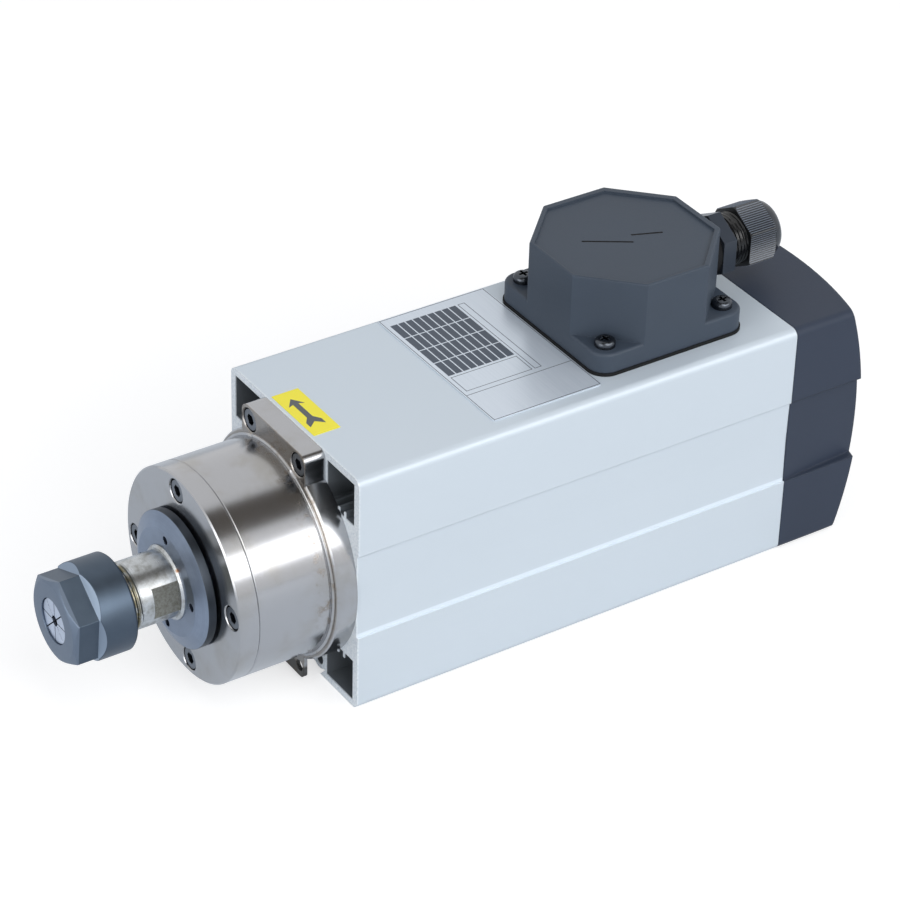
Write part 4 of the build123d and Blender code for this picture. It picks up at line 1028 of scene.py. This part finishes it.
gland_thread = wound_ridge("gland_thread", 9.52, 10.05, 277.2, 6, GLAND_AXIS_Z)
hand_over(gland_thread, "nylon", "housing", "black_nylon")

# %% [markdown]
# ## The gland's dome nut
# It is moulded nylon: a hexagon with fine grip ribs, rounded off at both ends, with a polished
# dome at its outer end. The ribbed bar comes first: the six sides of a circle with six corners are
# divided, and every second point is pulled in. A turned blank then keeps only what lies inside
# the bar, so its round form and the bar's ribs meet as they would after moulding.

# %% Gland nut
GLAND_NUT_FLATS = 22.6
GLAND_RIBS = 14
GLAND_RIB_DEEP = 0.42
GLAND_BAR_START = 282.0
GLAND_BAR_LENGTH = 18.0
GLAND_BLANK = [
    (10.15, 282.9), (12.2, 282.9), (12.7, 283.5), (12.7, 294.0), (11.8, 294.75), (11.0, 294.85),
    (10.95, 295.5), (10.7, 296.6), (10.2, 297.7), (9.4, 298.6), (8.3, 299.25), (7.1, 299.6),
    (6.2, 299.65), (6.4, 298.2), (8.5, 293.5), (8.5, 292.4), (10.15, 292.4)]


def is_rib_valley(place):
    """True for every second point along one side of the gland nut's hexagon."""
    turn = math.atan2(place.z - GLAND_AXIS_Z * MM, place.x) % math.radians(60)
    along_side = GLAND_NUT_FLATS / 2 * math.tan(turn if turn < math.radians(30)
                                                else turn - math.radians(60))
    pitch = GLAND_NUT_FLATS / math.sqrt(3) / (2 * GLAND_RIBS)
    return round(along_side / pitch + GLAND_RIBS) % 2 == 1


def ribbed_bar():
    """A hexagonal bar whose sides are ribbed all round."""
    corner = GLAND_NUT_FLATS / math.sqrt(3)
    middle = (0, GLAND_BAR_START * MM, GLAND_AXIS_Z * MM)
    bpy.ops.object.select_all(action="DESELECT")
    bpy.ops.mesh.primitive_circle_add(
        vertices=6, radius=corner * MM, location=middle, rotation=(math.radians(90), 0, 0))
    bar = bpy.context.object
    settle(bar)
    start_edit(bar, "VERT")
    bpy.ops.mesh.select_all(action="SELECT")
    bpy.ops.mesh.subdivide(number_cuts=2 * GLAND_RIBS - 1)
    mesh = bmesh.from_edit_mesh(bar.data)
    for point in mesh.verts:
        point.select_set(is_rib_valley(point.co))
    mesh.select_flush_mode()
    bmesh.update_edit_mesh(bar.data)
    share = 1 - GLAND_RIB_DEEP / (GLAND_NUT_FLATS / 2)
    bpy.ops.transform.resize(value=(share, 1, share), center_override=middle)
    bpy.ops.mesh.select_all(action="SELECT")
    bpy.ops.mesh.edge_face_add()
    along = (0, GLAND_BAR_LENGTH * MM, 0)
    bpy.ops.mesh.extrude_region_move(TRANSFORM_OT_translate={"value": along})
    end_edit()
    return bar


def gland_nut():
    """The turned blank of the dome nut, cut to the ribbed bar."""
    blank = turned_piece("gland_nut_ribbed", GLAND_BLANK, 96, GLAND_AXIS_Z)
    carve(blank, ribbed_bar(), "INTERSECT")
    only(blank)
    bpy.ops.object.shade_smooth_by_angle(angle=math.radians(28))
    return blank


hand_over(gland_nut(), "dome_nut", "gland_nut", "black_nylon", "gland_nut")

# %% [markdown]
# ## The direction arrow
# The yellow label carries one printed arrow that shows which way the shaft turns. Ink is thin but
# not flat, so it is a film 0.03 mm thick. Half of the arrow is drawn as a strip of faces: each end
# of a plain rectangle is extruded, and its two corners are moved to where the outline needs them.
# A mirrored copy of its faces makes the other half.

# %% Direction arrow
ARROW_MIDDLE_Y = 101.3
ARROW_FACE_Z = 48.9
INK_THICKNESS = 0.03
STEM_LEFT, STEM_RIGHT, STEM_HALF = -9.2, 0.2, 1.1
ARROW_STEPS = [
    ((STEM_LEFT, 0.0), (STEM_LEFT, STEM_HALF), (-12.8, 0.0), (-8.4, 3.2)),
    ((STEM_RIGHT, 0.0), (STEM_RIGHT, STEM_HALF), (2.8, 0.0), (3.0, 3.1)),
    ((2.8, 0.0), (3.0, 3.1), (3.4, 0.0), (6.0, 3.1)),
]


def arrow_point(x, across):
    """A point of the arrow's outline, in metres, by its place along and across the arrow."""
    return Vector((x * MM, (ARROW_MIDDLE_Y + across) * MM, ARROW_FACE_Z * MM))


def pull_strip(piece, low, high, low_to, high_to):
    """Extrude the edge between two points and move its new ends to two other points."""
    ends = (arrow_point(*low), arrow_point(*high))
    mesh = bmesh.from_edit_mesh(piece.data)
    for edge in mesh.edges:
        near = [min((corner.co - end).length for end in ends) < 1e-5 for corner in edge.verts]
        edge.select_set(all(near))
    bmesh.update_edit_mesh(piece.data)
    bpy.ops.mesh.extrude_region_move(TRANSFORM_OT_translate={"value": (0, 0, 0)})
    mesh = bmesh.from_edit_mesh(piece.data)
    fresh = sorted((corner for corner in mesh.verts if corner.select), key=lambda c: c.co.y)
    fresh[0].co = arrow_point(*low_to)
    fresh[1].co = arrow_point(*high_to)
    bmesh.update_edit_mesh(piece.data)
    bpy.ops.mesh.select_all(action="DESELECT")


def direction_arrow():
    """The printed arrow, as a film: a stem, a head to the left and a notched tail."""
    bpy.ops.object.select_all(action="DESELECT")
    middle = arrow_point((STEM_LEFT + STEM_RIGHT) / 2, STEM_HALF / 2)
    bpy.ops.mesh.primitive_plane_add(size=1.0, location=middle)
    arrow = bpy.context.object
    arrow.name = "direction_arrow"
    arrow.scale = ((STEM_RIGHT - STEM_LEFT) * MM, STEM_HALF * MM, 1)
    settle(arrow)
    start_edit(arrow, "EDGE")
    for step in ARROW_STEPS:
        pull_strip(arrow, *step)
    bpy.ops.mesh.select_all(action="SELECT")
    bpy.ops.mesh.remove_doubles(threshold=1e-6)
    bpy.ops.mesh.duplicate()
    bpy.ops.transform.resize(value=(1, -1, 1), center_override=arrow_point(0, 0))
    bpy.ops.mesh.select_all(action="SELECT")
    bpy.ops.mesh.remove_doubles(threshold=1e-6)
    bpy.ops.mesh.normals_make_consistent(inside=False)
    up = (0, 0, INK_THICKNESS * MM)
    bpy.ops.mesh.extrude_region_move(TRANSFORM_OT_translate={"value": up})
    end_edit()
    return arrow


hand_over(direction_arrow(), "ink", "housing", "black_plastic")

# %% [markdown]
# ## The floor
# The photograph has a pure white ground. The floor is pale grey and glows white towards the
# camera, so that it looks white and still keeps the object's shadow. Mirrored in the metal it
# glows less and a little blue, as on the lower edges of the real nose.

# %% Floor
FLOOR_Z = -48.8
FLOOR_SIZE = 30.0
FLOOR_COLOUR = (0.56, 0.56, 0.56, 1.0)
FLOOR_GLOW = 0.60
WHITE = (1.0, 1.0, 1.0, 1.0)
BLACK = (0.0, 0.0, 0.0, 1.0)
REFLECTED_GLOW = (0.50, 0.57, 0.66, 1.0)


def light_path(tree, output):
    """One output of the Light Path node, such as Is Camera Ray."""
    return Socket(tree, tree.nodes.new("ShaderNodeLightPath").outputs[output])


def floor_finish():
    """Pale grey that glows by what kind of ray looks at it."""
    material, shader, _ = start_finish(
        "floor_pale", FLOOR_COLOUR, 0.0, 0.9, Emission_Strength=FLOOR_GLOW)
    tree = material.node_tree
    glow = light_path(tree, "Is Glossy Ray").blend(BLACK, REFLECTED_GLOW)
    seen = light_path(tree, "Is Camera Ray")
    seen = seen.maths("MAXIMUM", seen, light_path(tree, "Is Transmission Ray"))
    feed(shader, "Emission Color", seen.blend(glow, WHITE))
    return material


bpy.ops.object.select_all(action="DESELECT")
bpy.ops.mesh.primitive_plane_add(size=FLOOR_SIZE, location=(0, 0, FLOOR_Z * MM))
floor = bpy.context.object
floor.name = "floor"
floor.data.materials.append(floor_finish())
print("floor at", FLOOR_Z, "mm")

# %% [markdown]
# ## The world
# It shows white to the camera, lights the object more softly, and shows white to reflections,
# apart from one dark strip overhead. The strip stands for the gap between the studio's soft
# boxes: mirrored in the turned nose, it draws the dark band along its top.

# %% World
STRIP_MIDDLE = math.radians(77)
STRIP_COLOUR = (0.13, 0.115, 0.10, 1.0)
STRIP_OUTSIDE, STRIP_INSIDE = 0.935, 0.975
WORLD_LIGHT = (0.46, 0.47, 0.49, 1.0)

world = bpy.data.worlds.new("studio")
bpy.context.scene.world = world
world.use_nodes = True
sky = world.node_tree.nodes["Background"]
sky.inputs["Strength"].default_value = 1.0
coordinates = world.node_tree.nodes.new("ShaderNodeTexCoord")
x, y, z = Socket(world.node_tree, coordinates.outputs["Generated"]).apart()
towards = (x * math.cos(STRIP_MIDDLE) + z * math.sin(STRIP_MIDDLE)) / (x * x + z * z).power(0.5)
strip = towards.smooth(STRIP_OUTSIDE, STRIP_INSIDE)
strip = strip * y.smooth(-0.8, -0.6) * (1 - y.smooth(0.55, 0.75))
mirrored = strip.blend(WHITE, STRIP_COLOUR)
glossy_rays = light_path(world.node_tree, "Is Glossy Ray")
camera_rays = light_path(world.node_tree, "Is Camera Ray")
shown = camera_rays.blend(glossy_rays.blend(WORLD_LIGHT, mirrored), WHITE)
world.node_tree.links.new(shown.socket, sky.inputs["Color"])
print("world ready, light", WORLD_LIGHT[:3])

# %% [markdown]
# ## The lamps
# Three large soft panels stand above on the right, behind on the right, and low in front. They are
# weak, so that a pale surface keeps its colour and doesn't turn white.

# %% Lamps
MIDDLE = Vector((0.0, 0.16, 0.0))


def panel(name, place, size, power):
    """A soft rectangular lamp that points at the middle of the spindle."""
    aim = (MIDDLE - Vector(place)).to_track_quat("-Z", "Y").to_euler()
    bpy.ops.object.light_add(type="AREA", location=place, rotation=aim)
    lamp = bpy.context.object
    lamp.name = name
    lamp.data.shape = "RECTANGLE"
    lamp.data.size = size[0]
    lamp.data.size_y = size[1]
    lamp.data.energy = power
    print(name, power, "W")


panel("key_panel", (1.25, 0.0, 1.15), (0.9, 1.4), 10.5)
panel("side_panel", (1.35, 0.78, 0.80), (1.5, 0.65), 9.0)
panel("front_panel", (0.35, -1.5, 0.40), (1.2, 1.0), 9.0)
bpy.context.scene.view_settings.view_transform = "Standard"
